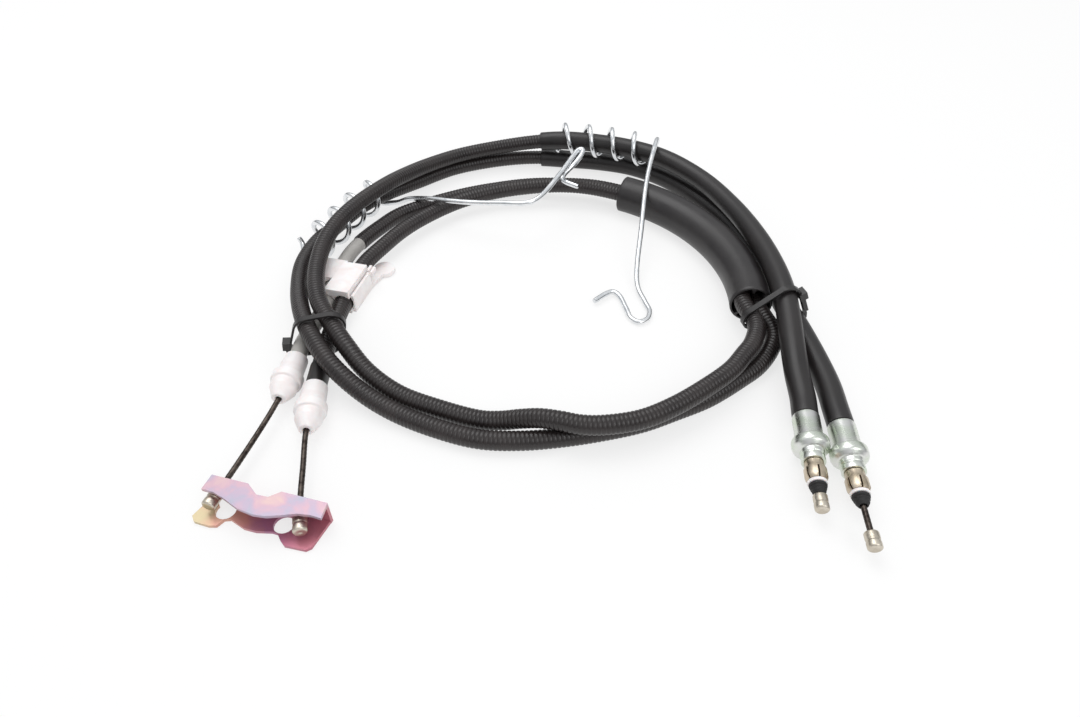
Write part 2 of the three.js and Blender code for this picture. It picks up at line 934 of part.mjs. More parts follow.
// The radius of a cable's cover at a length along it
function coverRadius(parts, length) {
  if (length > parts.rearStart) return rearSleeveRadius;
  if (length < parts.sleeveEnd) return parts.frontRadius;
  return hoseRadius;
}

// The circles where the cables pass through an upright plane, within reach of its middle
function crossings(cables, middle, normal, reach) {
  const across = normal.clone().cross(new THREE.Vector3(0, 0, 1));
  const found = [];
  cables.forEach((parts) => {
    const step = 1;
    let last = null;
    for (let length = 0; length <= parts.total; length += step) {
      const point = parts.curve.getPointAt(Math.min(length / parts.total, 1)).sub(middle);
      const side = point.dot(normal);
      if (last !== null && last * side <= 0 && point.length() < reach) {
        const slant = 1 / Math.abs(parts.curve.getTangentAt(length / parts.total).dot(normal));
        const radius = coverRadius(parts, length) * slant + tieSpread * (slant > 1.02);
        found.push({ x: point.dot(across), y: point.z, radius });
      }
      last = side;
    }
  });
  return found;
}

// The outline that a tight band takes round circles, a margin away from them
function bandOutline(circles, margin) {
  const points = [];
  circles.forEach(({ x, y, radius }) => {
    for (let i = 0; i < 16; i += 1) {
      const angle = (i * Math.PI) / 8;
      const reach = radius + margin;
      points.push([x + reach * Math.cos(angle), y + reach * Math.sin(angle)]);
    }
  });
  points.sort((a, b) => a[0] - b[0] || a[1] - b[1]);
  const cross = (o, a, b) => (a[0] - o[0]) * (b[1] - o[1]) - (a[1] - o[1]) * (b[0] - o[0]);
  const half = (list) => {
    const chain = [];
    list.forEach((point) => {
      while (chain.length > 1 && cross(chain.at(-2), chain.at(-1), point) <= 1e-6) chain.pop();
      chain.push(point);
    });
    return chain.slice(0, -1);
  };
  return [...half(points), ...half([...points].reverse())];
}

// One cable tie drawn round the cables at a place, with its head and its cut tail
function cableTie(name, cables, place, turned, head, tail) {
  const middle = vector(place);
  const normal = new THREE.Vector3(0, 1, 0).applyAxisAngle(new THREE.Vector3(0, 0, 1), turn(turned));
  const circles = crossings(cables, middle, normal, tieReach);
  const band = outlineOf(bandOutline(circles, tieGap + tieThickness));
  band.holes.push(new THREE.Path(outlineOf(bandOutline(circles, tieGap)).getPoints()));
  const ring = plate(band, tieWidth);
  ring.translate(0, 0, -tieWidth / 2);
  const block = new THREE.BoxGeometry(...tieHead);
  block.rotateZ(turn(head.turned));
  block.translate(head.at[0], head.at[1], 0);
  const strip = new THREE.BoxGeometry(
    Math.hypot(tail[1][0] - tail[0][0], tail[1][1] - tail[0][1]),
    tieThickness,
    tieWidth,
  );
  strip.rotateZ(Math.atan2(tail[1][1] - tail[0][1], tail[1][0] - tail[0][0]));
  strip.translate((tail[0][0] + tail[1][0]) / 2, (tail[0][1] + tail[1][1]) / 2, 0);
  const piece = add(name, geometryOf(solid(ring).add(solid(block)).add(solid(strip))), "nylon");
  const up = new THREE.Vector3(0, 0, 1);
  const across = normal.clone().cross(up);
  piece.position.copy(middle);
  piece.quaternion.setFromRotationMatrix(
    new THREE.Matrix4().makeBasis(across, up, normal.clone().negate()),
  );
}

// The clip that snaps over the two front legs: a short block, a long channel and a side ear
function clip(cables) {
  const short = new THREE.BoxGeometry(clipShortWidth, clipShortLength, clipShortHeight);
  short.translate(-clipShortWidth / 2, 1.5, clipShortHeight / 2 + fitGap);
  const long = new THREE.BoxGeometry(clipLongWidth, clipLongLength, clipLongHeight);
  long.translate(clipSide - clipLongWidth / 2, -6.5, clipLongHeight / 2 + fitGap);
  const ear = new THREE.CylinderGeometry(earRadius, earRadius, earThickness, 18);
  ear.rotateX(Math.PI / 2);
  ear.translate(earPlace[0], earPlace[1], fitGap + earThickness / 2);
  const neck = slotBlock(clipEarRoot, earPlace, earThickness, fitGap + earThickness / 2, earNeckWidth);
  let body = solid(short).add(solid(long)).add(solid(ear)).add(solid(neck));
  body = body.add(solid(latch()));
  clipProngs.forEach(([x, y]) => {
    const prong = new THREE.BoxGeometry(1.6, 6, 3);
    prong.translate(x, y, clipLongHeight - 5);
    body = body.add(solid(prong));
  });
  body = body.rotate([0, 0, clipTurn]).translate([...clipCentre, 0]);
  cables.forEach(({ curve, total, radius }) => {
    const from = lengthNear(curve, [clipCentre[0], clipCentre[1] - 40, 7]);
    const to = lengthNear(curve, [clipCentre[0], clipCentre[1] + 40, 7]);
    const cut = sweep(curve, stationsBetween(curve, from, to, 5, 0.1), radius + clipClearance, 12);
    body = body.subtract(solid(cut));
  });
  return geometryOf(body);
}

// The thin closing flap along the right side of the clip
function latch() {
  const flap = new THREE.BoxGeometry(1.6, clipLongLength - 4, clipLongHeight - 4);
  flap.translate(clipLongWidth + 0.4, -6.5, (clipLongHeight - 4) / 2 + fitGap);
  const foot = new THREE.BoxGeometry(3, clipLongLength - 4, 1.6);
  foot.translate(clipLongWidth - 0.6, -6.5, 0.8 + fitGap);
  return geometryOf(solid(flap).add(solid(foot)));
}

const cableA = cable(
  "a",
  routeA,
  {
    frontBarrel: frontBarrelA,
    frontSleeveEnd: greySleeveEnd,
    rearSleeveStart: rearSleeveStartA,
    rearBarrel: rearBarrelA,
  },
  greySleeveRadius,
  "greyPlastic",
);
const cableB = cable(
  "b",
  routeB,
  {
    frontBarrel: frontBarrelB,
    frontSleeveEnd: blackSleeveEnd,
    rearSleeveStart: rearSleeveStartB,
    rearBarrel: rearBarrelB,
  },
  blackSleeveRadius,
  "rubber",
);
frontFittings(cableA, greySleeveRadius);
frontFittings(cableB, blackSleeveRadius);
mainWire(cableA, rearFittings(cableA, wireTravelLength));
mainWire(cableB, rearFittings(cableB, 0));
add("guide_tube", guide(), "guidePlastic");
add("spring_hook_top", topSpring(cableB), "springSteel");
add("spring_hook_left", leftSpring(), "springSteel");
const pull = add("pull_bracket", bracket(), "yellowZinc");
pull.position.set(...bracketCentre, 0);
pull.rotation.z = turn(bracketTurn);
const held = [
  { ...cableA, radius: greySleeveRadius },
  { ...cableB, radius: hoseRadius },
];
add("routing_clip", clip(held), "whitePlastic");
const cables = [cableA, cableB];
cableTie("cable_tie_left", cables, leftTie, leftTieTurn, leftTieHead, leftTieTail);
cableTie("cable_tie_right", cables, rightTie, rightTieTurn, rightTieHead, rightTieTail);

export default group;
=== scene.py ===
"""Looks of a parking brake cable pair, tied into one loop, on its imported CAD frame.

Metres, +Z up. The loop lies on a pale floor at z = 0, with the front ends towards -Y.
"""

import logging
import math
from dataclasses import dataclass, field
from enum import Enum

import bmesh
import bpy
import numpy as np
from mathutils import Matrix, Vector


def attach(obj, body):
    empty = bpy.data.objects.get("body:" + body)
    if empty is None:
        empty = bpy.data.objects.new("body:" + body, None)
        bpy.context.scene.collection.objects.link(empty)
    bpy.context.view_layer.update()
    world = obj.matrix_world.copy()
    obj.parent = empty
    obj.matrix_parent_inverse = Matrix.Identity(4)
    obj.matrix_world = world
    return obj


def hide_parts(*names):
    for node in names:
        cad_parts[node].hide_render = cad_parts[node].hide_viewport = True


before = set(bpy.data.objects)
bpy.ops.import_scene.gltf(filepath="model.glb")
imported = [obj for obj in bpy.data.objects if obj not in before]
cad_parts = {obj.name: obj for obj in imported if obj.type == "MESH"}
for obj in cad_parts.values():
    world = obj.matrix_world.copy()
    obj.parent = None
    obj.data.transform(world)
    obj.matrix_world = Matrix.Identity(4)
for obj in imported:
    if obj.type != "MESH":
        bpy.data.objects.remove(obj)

log = logging.getLogger("brake_cable")
logging.basicConfig(level=logging.INFO, format="%(message)s")

MM = 0.001
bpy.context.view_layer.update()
LOOP_SHIFT = np.array([0.7, 23.3, 0.0]) * MM

# Points nearer than the gap are one point, and edges past the angle stay sharp
WELD_GAP = 1e-7
SHARP_ANGLE = math.radians(50)
# The largest share of an edge that a rounded corner takes
CORNER_SHARE = 0.4
# The distance between the rings of a stranded wire where it shows
WIRE_STEP_MM = 0.8

# The forming guide's arc, and the angles in degrees at which the cables' points follow it
GUIDE_CENTRE = (0.001, -0.024)
GUIDE_BEND = 0.1273
GUIDE_SIDEWAYS = 0.00495
GUIDE_LOW = 0.0102
GUIDE_HIGH = 0.0148
GUIDE_ANGLES = (60, 49, 38, 27, 16, 5)

Point = tuple[float, float, float]


def guide_point(angle: float, outwards: float, height: float) -> Point:
    """Finds a point of the guide's centre arc.

    Args:
        angle: Angle round the guide's centre, in degrees.
        outwards: Distance outside the arc.
        height: Height over the floor.

    Returns:
        The point, before the loop's shift.
    """
    reach = GUIDE_BEND + outwards
    turned = math.radians(angle)
    return (
        GUIDE_CENTRE[0] + reach * math.cos(turned),
        GUIDE_CENTRE[1] + reach * math.sin(turned),
        height,
    )


# The cables' routes, as points in metres before the loop's shift
ROUTE_A = (
    (-0.1557, -0.1815, 0.007),
    (-0.151, -0.165, 0.0075),
    (-0.1455, -0.143, 0.008),
    (-0.141, -0.123, 0.0087),
    (-0.1387, -0.107, 0.0088),
    (-0.1377, -0.09, 0.0088),
    (-0.1372, -0.08, 0.0088),
    (-0.1371, -0.07, 0.0084),
    (-0.1362, -0.059, 0.0073),
    (-0.1342, -0.048, 0.007),
    (-0.1322, -0.035, 0.007),
    (-0.1314, -0.02, 0.0073),
    (-0.1312, -0.009, 0.0076),
    (-0.1296, 0.005, 0.0078),
    (-0.127, 0.021, 0.0072),
    (-0.122, 0.037, 0.0061),
    (-0.113, 0.054, 0.0056),
    (-0.1, 0.072, 0.0055),
    (-0.06, 0.096, 0.0058),
    (-0.034, 0.104, 0.0068),
    (-0.008, 0.1075, 0.0083),
    (0.019, 0.1055, 0.0098),
    (0.0419, 0.1018, 0.0102),
    *(guide_point(angle, GUIDE_SIDEWAYS, GUIDE_LOW) for angle in GUIDE_ANGLES),
    (0.1332, -0.02, 0.0102),
    (0.1329, -0.032, 0.0102),
    (0.1327, -0.041, 0.0101),
    (0.1344, -0.049, 0.0098),
    (0.1366, -0.057, 0.009),
    (0.1366, -0.0645, 0.008),
    (0.1338, -0.071, 0.0067),
    (0.1285, -0.079, 0.0056),
    (0.1215, -0.087, 0.0054),
    (0.113, -0.094, 0.0054),
    (0.091, -0.11, 0.0054),
    (0.071, -0.12, 0.0054),
    (0.053, -0.128, 0.0054),
    (0.031, -0.134, 0.0054),
    (0.01, -0.138, 0.0054),
    (-0.01, -0.14, 0.0054),
    (-0.031, -0.139, 0.0054),
    (-0.053, -0.132, 0.0054),
    (-0.077, -0.121, 0.0063),
    (-0.096, -0.11, 0.0104),
    (-0.113, -0.097, 0.0174),
    (-0.127, -0.078, 0.02),
    (-0.14, -0.052, 0.0172),
    (-0.15, -0.021, 0.0124),
    (-0.154, 0.006, 0.0106),
    (-0.15, 0.029, 0.0109),
    (-0.142, 0.046, 0.0109),
    (-0.1345, 0.062, 0.0109),
    (-0.126, 0.077, 0.0109),
    (-0.114, 0.093, 0.0095),
    (-0.093, 0.116, 0.0066),
    (-0.067, 0.138, 0.0057),
    (-0.032, 0.15, 0.0064),
    (-0.004, 0.153, 0.007),
    (0.023, 0.15, 0.007),
    (0.048, 0.146, 0.007),
    (0.072, 0.138, 0.007),
    (0.096, 0.12, 0.007),
    (0.116, 0.093, 0.007),
    (0.134, 0.057, 0.007),
    (0.1425, 0.018, 0.007),
    (0.1476, -0.015, 0.0082),
    (0.15, -0.04, 0.0093),
    (0.153, -0.062, 0.0092),
    (0.1555, -0.085, 0.0088),
    (0.1563, -0.105, 0.009),
    (0.1552, -0.122, 0.0093),
    (0.1544, -0.135, 0.0095),
    (0.1518, -0.168, 0.0095),
    (0.1485, -0.203, 0.0095),
)
ROUTE_B = (
    (-0.109, -0.1955, 0.007),
    (-0.111, -0.187, 0.007),
    (-0.1135, -0.1751, 0.0074),
    (-0.1162, -0.158, 0.008),
    (-0.1193, -0.139, 0.0088),
    (-0.1207, -0.1225, 0.0088),
    (-0.1216, -0.1082, 0.0088),
    (-0.1223, -0.095, 0.0079),
    (-0.1229, -0.08, 0.0076),
    (-0.1229, -0.064, 0.0079),
    (-0.1221, -0.044, 0.0075),
    (-0.1204, -0.023, 0.0072),
    (-0.1183, -0.007, 0.0078),
    (-0.1145, 0.009, 0.0084),
    (-0.106, 0.025, 0.0095),
    (-0.094, 0.046, 0.0098),
    (-0.078, 0.065, 0.0099),
    (-0.057, 0.082, 0.0105),
    (-0.032, 0.092, 0.012),
    (-0.006, 0.0955, 0.014),
    (0.017, 0.0962, 0.0148),
    (0.0378, 0.0927, 0.0148),
    *(guide_point(angle, -GUIDE_SIDEWAYS, GUIDE_HIGH) for angle in GUIDE_ANGLES),
    (0.1232, -0.02, 0.0149),
    (0.1224, -0.032, 0.0149),
    (0.1222, -0.041, 0.0149),
    (0.124, -0.05, 0.015),
    (0.1256, -0.057, 0.015),
    (0.1252, -0.064, 0.015),
    (0.1224, -0.072, 0.0152),
    (0.1186, -0.0795, 0.0156),
    (0.1135, -0.0865, 0.0161),
    (0.104, -0.099, 0.0166),
    (0.089, -0.112, 0.0166),
    (0.069, -0.126, 0.0162),
    (0.051, -0.135, 0.0161),
    (0.031, -0.139, 0.0164),
    (0.02, -0.1386, 0.0164),
    (0.01, -0.136, 0.0163),
    (0, -0.1328, 0.0146),
    (-0.01, -0.13, 0.011),
    (-0.02, -0.128, 0.0074),
    (-0.031, -0.126, 0.0057),
    (-0.054, -0.118, 0.0055),
    (-0.077, -0.108, 0.0068),
    (-0.095, -0.096, 0.012),
    (-0.1074, -0.083, 0.0184),
    (-0.12, -0.0645, 0.0206),
    (-0.1314, -0.044, 0.0209),
    (-0.138, -0.018, 0.0216),
    (-0.1386, 0.01, 0.0236),
    (-0.134, 0.031, 0.0254),
    (-0.125, 0.0525, 0.0259),
    (-0.11, 0.08, 0.0246),
    (-0.098, 0.102, 0.021),
    (-0.084, 0.121, 0.018),
    (-0.062, 0.1385, 0.0168),
    (-0.031, 0.149, 0.0182),
    (-0.004, 0.15, 0.0218),
    (0.019, 0.145, 0.0256),
    (0.046, 0.14, 0.0256),
    (0.07, 0.132, 0.0252),
    (0.093, 0.118, 0.0245),
    (0.116, 0.091, 0.023),
    (0.132, 0.053, 0.023),
    (0.1406, 0.012, 0.0246),
    (0.1436, -0.021, 0.0253),
    (0.1434, -0.046, 0.025),
    (0.142, -0.066, 0.0218),
    (0.1406, -0.084, 0.0174),
    (0.1399, -0.1, 0.013),
    (0.1398, -0.114, 0.0102),
    (0.1381, -0.126, 0.0095),
    (0.1338, -0.16, 0.0095),
    (0.1288, -0.199, 0.0095),
)

# The spring wires beyond their coils
TOP_SPRING_ARM = (
    (0.076, 0.082, 0.028),
    (0.069, 0.04, 0.0175),
    (0.0625, -0.0088, 0.004),
    (0.066, -0.024, 0.0022),
    (0.068, -0.033, 0.0019),
    (0.0655, -0.0405, 0.0019),
    (0.0605, -0.0432, 0.0019),
    (0.056, -0.0395, 0.0019),
    (0.0536, -0.03, 0.002),
    (0.05, -0.0175, 0.0024),
    (0.0466, -0.0146, 0.0028),
    (0.0425, -0.0165, 0.003),
    (0.0339, -0.0243, 0.003),
)
LEFT_SPRING_TAIL = (
    (-0.1623, 0.0303, 0.0136),
    (-0.1604, 0.0292, 0.0098),
)
LEFT_COIL_LINE = (
    (-0.151, 0.0217, 0.0124),
    (-0.1406, 0.046, 0.0124),
    (-0.128, 0.076, 0.0124),
    (-0.1176, 0.091, 0.0124),
    (-0.1095, 0.099, 0.0124),
)
LEFT_SPRING_ARM = (
    (-0.1114, 0.0924, 0.0024),
    (-0.105, 0.0908, 0.004),
    (-0.097, 0.0875, 0.0086),
    (-0.086, 0.0795, 0.014),
    (-0.076, 0.0715, 0.0184),
    (-0.062, 0.0635, 0.0216),
    (-0.046, 0.0575, 0.024),
    (-0.027, 0.0514, 0.0274),
    (-0.009, 0.0472, 0.03),
    (-0.002, 0.0505, 0.031),
    (0.014, 0.0768, 0.035),
    (0.0243, 0.0975, 0.0385),
    (0.028, 0.1028, 0.0398),
    (0.0304, 0.103, 0.04),
    (0.0306, 0.1002, 0.0392),
    (0.0255, 0.0915, 0.036),
    (0.0168, 0.0832, 0.0306),
    (0.016, 0.0802, 0.029),
    (0.0182, 0.0776, 0.0284),
    (0.0268, 0.072, 0.0278),
)


class Body(Enum):
    """The rigid body that a piece moves with."""

    CASING = "casing"
    WIRE_END_A = "wire_end_a"
    WIRE_END_B = "wire_end_b"


class Slot(Enum):
    """The record's material slots."""

    HOSE = "hose"
    RUBBER_SLEEVE = "rubber_sleeve"
    GREY_SLEEVE = "grey_sleeve"
    GUIDE = "guide"
    WHITE_PLASTIC = "white_plastic"
    WIRE = "wire"
    NIPPLE = "nipple"
    ZINC_FERRULE = "zinc_ferrule"
    ZINC_COLLET = "zinc_collet"
    BOOT_RUBBER = "boot_rubber"
    SPRING_WIRE = "spring_wire"
    YELLOW_ZINC = "yellow_zinc"
    NYLON = "nylon"


# Materials


def linear(colour: str) -> tuple[float, float, float, float]:
    """Turns an sRGB hex colour to linear light.

    Args:
        colour: Six hex digits after a hash sign.

    Returns:
        Red, green, blue and an alpha of 1.
    """
    shares = [int(colour[i : i + 2], 16) / 255 for i in (1, 3, 5)]
    lit = [s / 12.92 if s <= 0.04045 else ((s + 0.055) / 1.055) ** 2.4 for s in shares]
    return (lit[0], lit[1], lit[2], 1.0)


def set_inputs(tree: bpy.types.NodeTree, node: bpy.types.Node, inputs: dict) -> None:
    """Gives a node's inputs their values or links.

    Args:
        tree: The node tree that it is in.
        node: The node.
        inputs: Values or linked sockets, by the input's name or number.
    """
    for name, value in inputs.items():
        if isinstance(value, bpy.types.NodeSocket):
            tree.links.new(value, node.inputs[name])
        else:
            node.inputs[name].default_value = value


def add_node(
    tree: bpy.types.NodeTree,
    kind: str,
    inputs: dict | None = None,
    stops: tuple | None = None,
    **settings: object,
) -> bpy.types.Node:
    """Adds a node with its settings, values and links.

    Args:
        tree: The node tree it goes into.
        kind: Blender's name for the node.
        inputs: Values or linked sockets, by the input's name or number.
        stops: Pairs of place and hex colour, for a colour ramp.
        **settings: The node's own properties.

    Returns:
        The new node.
    """
    made = tree.nodes.new(kind)
    for name, value in settings.items():
        setattr(made, name, value)
    set_inputs(tree, made, inputs or {})
    if stops:
        elements = made.color_ramp.elements
        while len(elements) < len(stops):
            elements.new(0.5)
        for element, (place, colour) in zip(elements, stops):
            element.position = place
            element.color = linear(colour)
    return made


@dataclass(frozen=True)
class Finish:
    """A surface finish. Each kind of finish has a dress() of its own."""

    name: str
    slot: Slot
    colour: str
    roughness: float

    def build(self) -> bpy.types.Material:
        """Makes the material.

        Returns:
            The new Blender material.
        """
        material = bpy.data.materials.new(self.name)
        material.use_nodes = True
        tree = material.node_tree
        shader = tree.nodes["Principled BSDF"]
        plain = {"Roughness": self.roughness, "Base Color": linear(self.colour)}
        set_inputs(tree, shader, plain)
        material.diffuse_color = linear(self.colour)
        self.dress(tree, shader)
        return material

    def dress(self, tree: bpy.types.NodeTree, shader: bpy.types.Node) -> None:
        """Adds the finish's own nodes; the plain finish has none.

        Args:
            tree: The material's node tree.
            shader: Its main shader node.
        """

    def place(self, tree: bpy.types.NodeTree) -> bpy.types.NodeSocket:
        """Gives the socket of the piece's own coordinates, in metres."""
        return add_node(tree, "ShaderNodeTexCoord").outputs["Object"]


@dataclass(frozen=True)
class MouldedPolymer(Finish):
    """A moulded or extruded plastic or rubber: cloudy tone, fine grain, a soft uneven gloss.

    The grain is drawn coarser than the real one, which is too fine to show.
    """

    light_colour: str = "#3a3637"
    cloud_mm: float = 14.0
    grain_mm: float = 0.35
    grain_depth_mm: float = 0.02
    grain_strength: float = 0.6
    gloss_spread: float = 0.12
    ior: float = 1.5

    def dress(self, tree: bpy.types.NodeTree, shader: bpy.types.Node) -> None:
        """Adds the cloudy tone, the grain and the uneven gloss.

        Args:
            tree: The material's node tree.
            shader: Its main shader node.
        """
        place = self.place(tree)
        clouds = add_node(
            tree,
            "ShaderNodeTexNoise",
            {"Vector": place, "Scale": 1 / (self.cloud_mm * MM), "Detail": 4.0},
        )
        tone = add_node(
            tree,
            "ShaderNodeValToRGB",
            {0: clouds.outputs["Fac"]},
            stops=((0.3, self.colour), (0.72, self.light_colour)),
        )
        gloss = add_node(
            tree,
            "ShaderNodeMapRange",
            {
                "Value": clouds.outputs["Fac"],
                "From Min": 0.3,
                "From Max": 0.7,
                "To Min": self.roughness - self.gloss_spread / 2,
                "To Max": self.roughness + self.gloss_spread / 2,
            },
        )
        grain = add_node(
            tree,
            "ShaderNodeTexNoise",
            {"Vector": place, "Scale": 1 / (self.grain_mm * MM), "Detail": 2.0},
        )
        bump = add_node(
            tree,
            "ShaderNodeBump",
            {
                "Height": grain.outputs["Fac"],
                "Distance": self.grain_depth_mm * MM,
                "Strength": self.grain_strength,
            },
        )
        dressed = {
            "Base Color": tone.outputs["Color"],
            "Roughness": gloss.outputs["Result"],
            "Normal": bump.outputs["Normal"],
            "IOR": self.ior,
        }
        set_inputs(tree, shader, dressed)


@dataclass(frozen=True)
class NaturalNylon(Finish):
    """Undyed moulded nylon: milky, warm where it is thin, with faint flow marks."""

    shade_colour: str = "#f3e9e7"
    glow_mm: float = 1.2
    flow_mm: float = 9.0
    pit_mm: float = 0.6
    pit_depth_mm: float = 0.02

    def dress(self, tree: bpy.types.NodeTree, shader: bpy.types.Node) -> None:
        """Adds the flow marks and the light that soaks in.

        Args:
            tree: The material's node tree.
            shader: Its main shader node.
        """
        place = self.place(tree)
        flow = add_node(
            tree,
            "ShaderNodeTexNoise",
            {"Vector": place, "Scale": 1 / (self.flow_mm * MM), "Detail": 3.0, "Distortion": 0.8},
        )
        tone = add_node(
            tree,
            "ShaderNodeValToRGB",
            {0: flow.outputs["Fac"]},
            stops=((0.32, self.shade_colour), (0.62, self.colour)),
        )
        pits = add_node(
            tree,
            "ShaderNodeTexNoise",
            {"Vector": place, "Scale": 1 / (self.pit_mm * MM), "Detail": 2.0},
        )
        bump = add_node(
            tree,
            "ShaderNodeBump",
            {
                "Height": pits.outputs["Fac"],
                "Distance": self.pit_depth_mm * MM,
                "Strength": 0.5,
            },
        )
        dressed = {
            "Base Color": tone.outputs["Color"],
            "Normal": bump.outputs["Normal"],
            "IOR": 1.53,
            "Subsurface Weight": 0.25,
            "Subsurface Radius": (1.0, 0.75, 0.65),
            "Subsurface Scale": self.glow_mm * MM,
        }
        set_inputs(tree, shader, dressed)


@dataclass(frozen=True)
class PlatedSteel(Finish):
    """Zinc or nickel on turned or drawn steel: a metal with a drifting tint and tool marks.

    The marks are drawn coarser than the tool's real feed, which is too fine to show.
    """

    tint: str = "#9aa08f"
    tint_mm: float = 7.0
    mark_mm: float = 0.5
    mark_depth_mm: float = 0.012
    turned: bool = True

    def dress(self, tree: bpy.types.NodeTree, shader: bpy.types.Node) -> None:
        """Adds the drifting tint and the tool marks.

        Args:
            tree: The material's node tree.
            shader: Its main shader node.
        """
        place = self.place(tree)
        drift = add_node(
            tree,
            "ShaderNodeTexNoise",
            {"Vector": place, "Scale": 1 / (self.tint_mm * MM), "Detail": 4.0},
        )
        tone = add_node(
            tree,
            "ShaderNodeValToRGB",
            {0: drift.outputs["Fac"]},
            stops=((0.35, self.tint), (0.65, self.colour)),
        )
        gloss = add_node(
            tree,
            "ShaderNodeMapRange",
            {
                "Value": drift.outputs["Fac"],
                "From Min": 0.3,
                "From Max": 0.7,
                "To Min": self.roughness - 0.05,
                "To Max": self.roughness + 0.08,
            },
        )
        if self.turned:
            marks = add_node(
                tree,
                "ShaderNodeTexWave",
                {
                    "Vector": place,
                    "Scale": 1 / (self.mark_mm * MM * 2 * math.pi),
                    "Distortion": 0.4,
                    "Detail": 1.0,
                },
                bands_direction="Z",
            )
        else:
            marks = add_node(
                tree,
                "ShaderNodeTexNoise",
                {"Vector": place, "Scale": 1 / (self.mark_mm * MM), "Detail": 3.0},
            )
        bump = add_node(
            tree,
            "ShaderNodeBump",
            {
                "Height": marks.outputs["Fac"],
                "Distance": self.mark_depth_mm * MM,
                "Strength": 0.5,
            },
        )
        dressed = {
            "Base Color": tone.outputs["Color"],
            "Roughness": gloss.outputs["Result"],
            "Normal": bump.outputs["Normal"],
            "Metallic": 1.0,
        }
        set_inputs(tree, shader, dressed)


@dataclass(frozen=True)
class YellowPassivate(Finish):
    """Pressed steel, zinc plated and yellow passivated: a film of drifting rainbow tints, and a
    painted reflection that greys the upper flange towards lavender.
    """

    # The bracket's ends along X and the heights of its fold, in metres
    left_end: float = -0.160
    right_end: float = -0.094
    fold_low: float = 0.0095
    fold_high: float = 0.0135
    low_colours: tuple = (
        (0.0, "#cdbd98"),
        (0.1, "#d8ad94"),
        (0.3, "#cb8c86"),
        (0.5, "#a9708f"),
        (0.7, "#b56f85"),
        (1.0, "#c0757f"),
    )
    # The upper flange's colours: the film's own tints, greyed towards lavender as a painted
    # reflection of the light above
    high_tints_and_reflection: tuple = (
        (0.3, "#a4a7b6"),
        (0.44, "#b3a3b6"),
        (0.56, "#c4a3b0"),
        (0.72, "#cdb0ae"),
    )
    patch_mm: float = 11.0
    patch_sway: float = 0.35
    patch_middle: float = 0.17
    rolled_mm: float = 0.7
    rolled_depth_mm: float = 0.03
    sheen: float = 0.35

    def dress(self, tree: bpy.types.NodeTree, shader: bpy.types.Node) -> None:
        """Adds the rainbow tints of the two flanges, a painted reflection that greys the upper
        one, and the press marks.

        Args:
            tree: The material's node tree.
            shader: Its main shader node.
        """
        place = self.place(tree)
        split = add_node(tree, "ShaderNodeSeparateXYZ", {0: place})
        patches = add_node(
            tree,
            "ShaderNodeTexNoise",
            {"Vector": place, "Scale": 1 / (self.patch_mm * MM), "Detail": 3.0, "Distortion": 0.6},
        )
        along = add_node(
            tree,
            "ShaderNodeMapRange",
            {"Value": split.outputs["X"], "From Min": self.left_end, "From Max": self.right_end},
        )
        swayed = add_node(
            tree,
            "ShaderNodeMath",
            {0: patches.outputs["Fac"], 1: self.patch_sway, 2: along.outputs["Result"]},
            operation="MULTIPLY_ADD",
        )
        level = add_node(
            tree,
            "ShaderNodeMath",
            {0: swayed.outputs[0], 1: self.patch_middle},
            operation="SUBTRACT",
        )
        low = add_node(
            tree, "ShaderNodeValToRGB", {0: level.outputs[0]}, stops=self.low_colours
        )
        high_tint_and_reflection = add_node(
            tree, "ShaderNodeValToRGB", {0: patches.outputs["Fac"]}, stops=self.high_tints_and_reflection
        )
        # Painted reflection: from the fold upwards the colour fades into the upper flange's greyer
        # tints
        reflection_by_height = add_node(
            tree,
            "ShaderNodeMapRange",
            {"Value": split.outputs["Z"], "From Min": self.fold_low, "From Max": self.fold_high},
        )
        # Inputs 6 and 7 and output 2 are the node's colours
        tone = add_node(
            tree,
            "ShaderNodeMix",
            {0: reflection_by_height.outputs["Result"], 6: low.outputs["Color"], 7: high_tint_and_reflection.outputs["Color"]},
            data_type="RGBA",
        )
        rolled = add_node(
            tree,
            "ShaderNodeTexNoise",
            {"Vector": place, "Scale": 1 / (self.rolled_mm * MM), "Detail": 3.0},
        )
        bump = add_node(
            tree,
            "ShaderNodeBump",
            {
                "Height": rolled.outputs["Fac"],
                "Distance": self.rolled_depth_mm * MM,
                "Strength": 0.5,
            },
        )
        dressed = {
            "Base Color": tone.outputs[2],
            "Normal": bump.outputs["Normal"],
            "Metallic": self.sheen,
        }
        set_inputs(tree, shader, dressed)


# Extruded polyamide conduit: near black, a satin gloss that breaks up on its ribs
CONDUIT = MouldedPolymer(
    "extruded_polyamide_conduit", Slot.HOSE, "#231e1e", 0.33, light_colour="#2f2928"
)
# Extruded EPDM rubber: black with a long soft sheen
EPDM_SLEEVE = MouldedPolymer(
    "extruded_epdm_sleeve",
    Slot.RUBBER_SLEEVE,
    "#1c1919",
    0.4,
    light_colour="#262222",
    cloud_mm=22.0,
)
# Extruded polyethylene: plain light grey, waxy
GREY_POLYETHYLENE = MouldedPolymer(
    "extruded_grey_polyethylene", Slot.GREY_SLEEVE, "#a8a5a0", 0.42, light_colour="#bcb8b4"
)
# Injection moulded polypropylene: satin dark grey, spark-eroded grain
SPARK_GRAINED_POLYPROPYLENE = MouldedPolymer(
    "moulded_polypropylene_grained",
    Slot.GUIDE,
    "#221f20",
    0.38,
    light_colour="#2e2b2b",
    grain_mm=0.5,
    grain_depth_mm=0.03,
)
# Moulded nylon 66: black, a little glossy
BLACK_NYLON = MouldedPolymer(
    "moulded_black_nylon", Slot.NYLON, "#1c1a1a", 0.38, light_colour="#2a2727", cloud_mm=5.0
)
# Moulded nitrile rubber: deep matt black, faintly cloudy
NITRILE_BOOT = MouldedPolymer(
    "moulded_nitrile_boot", Slot.BOOT_RUBBER, "#191818", 0.66, light_colour="#262424", cloud_mm=4.0
)
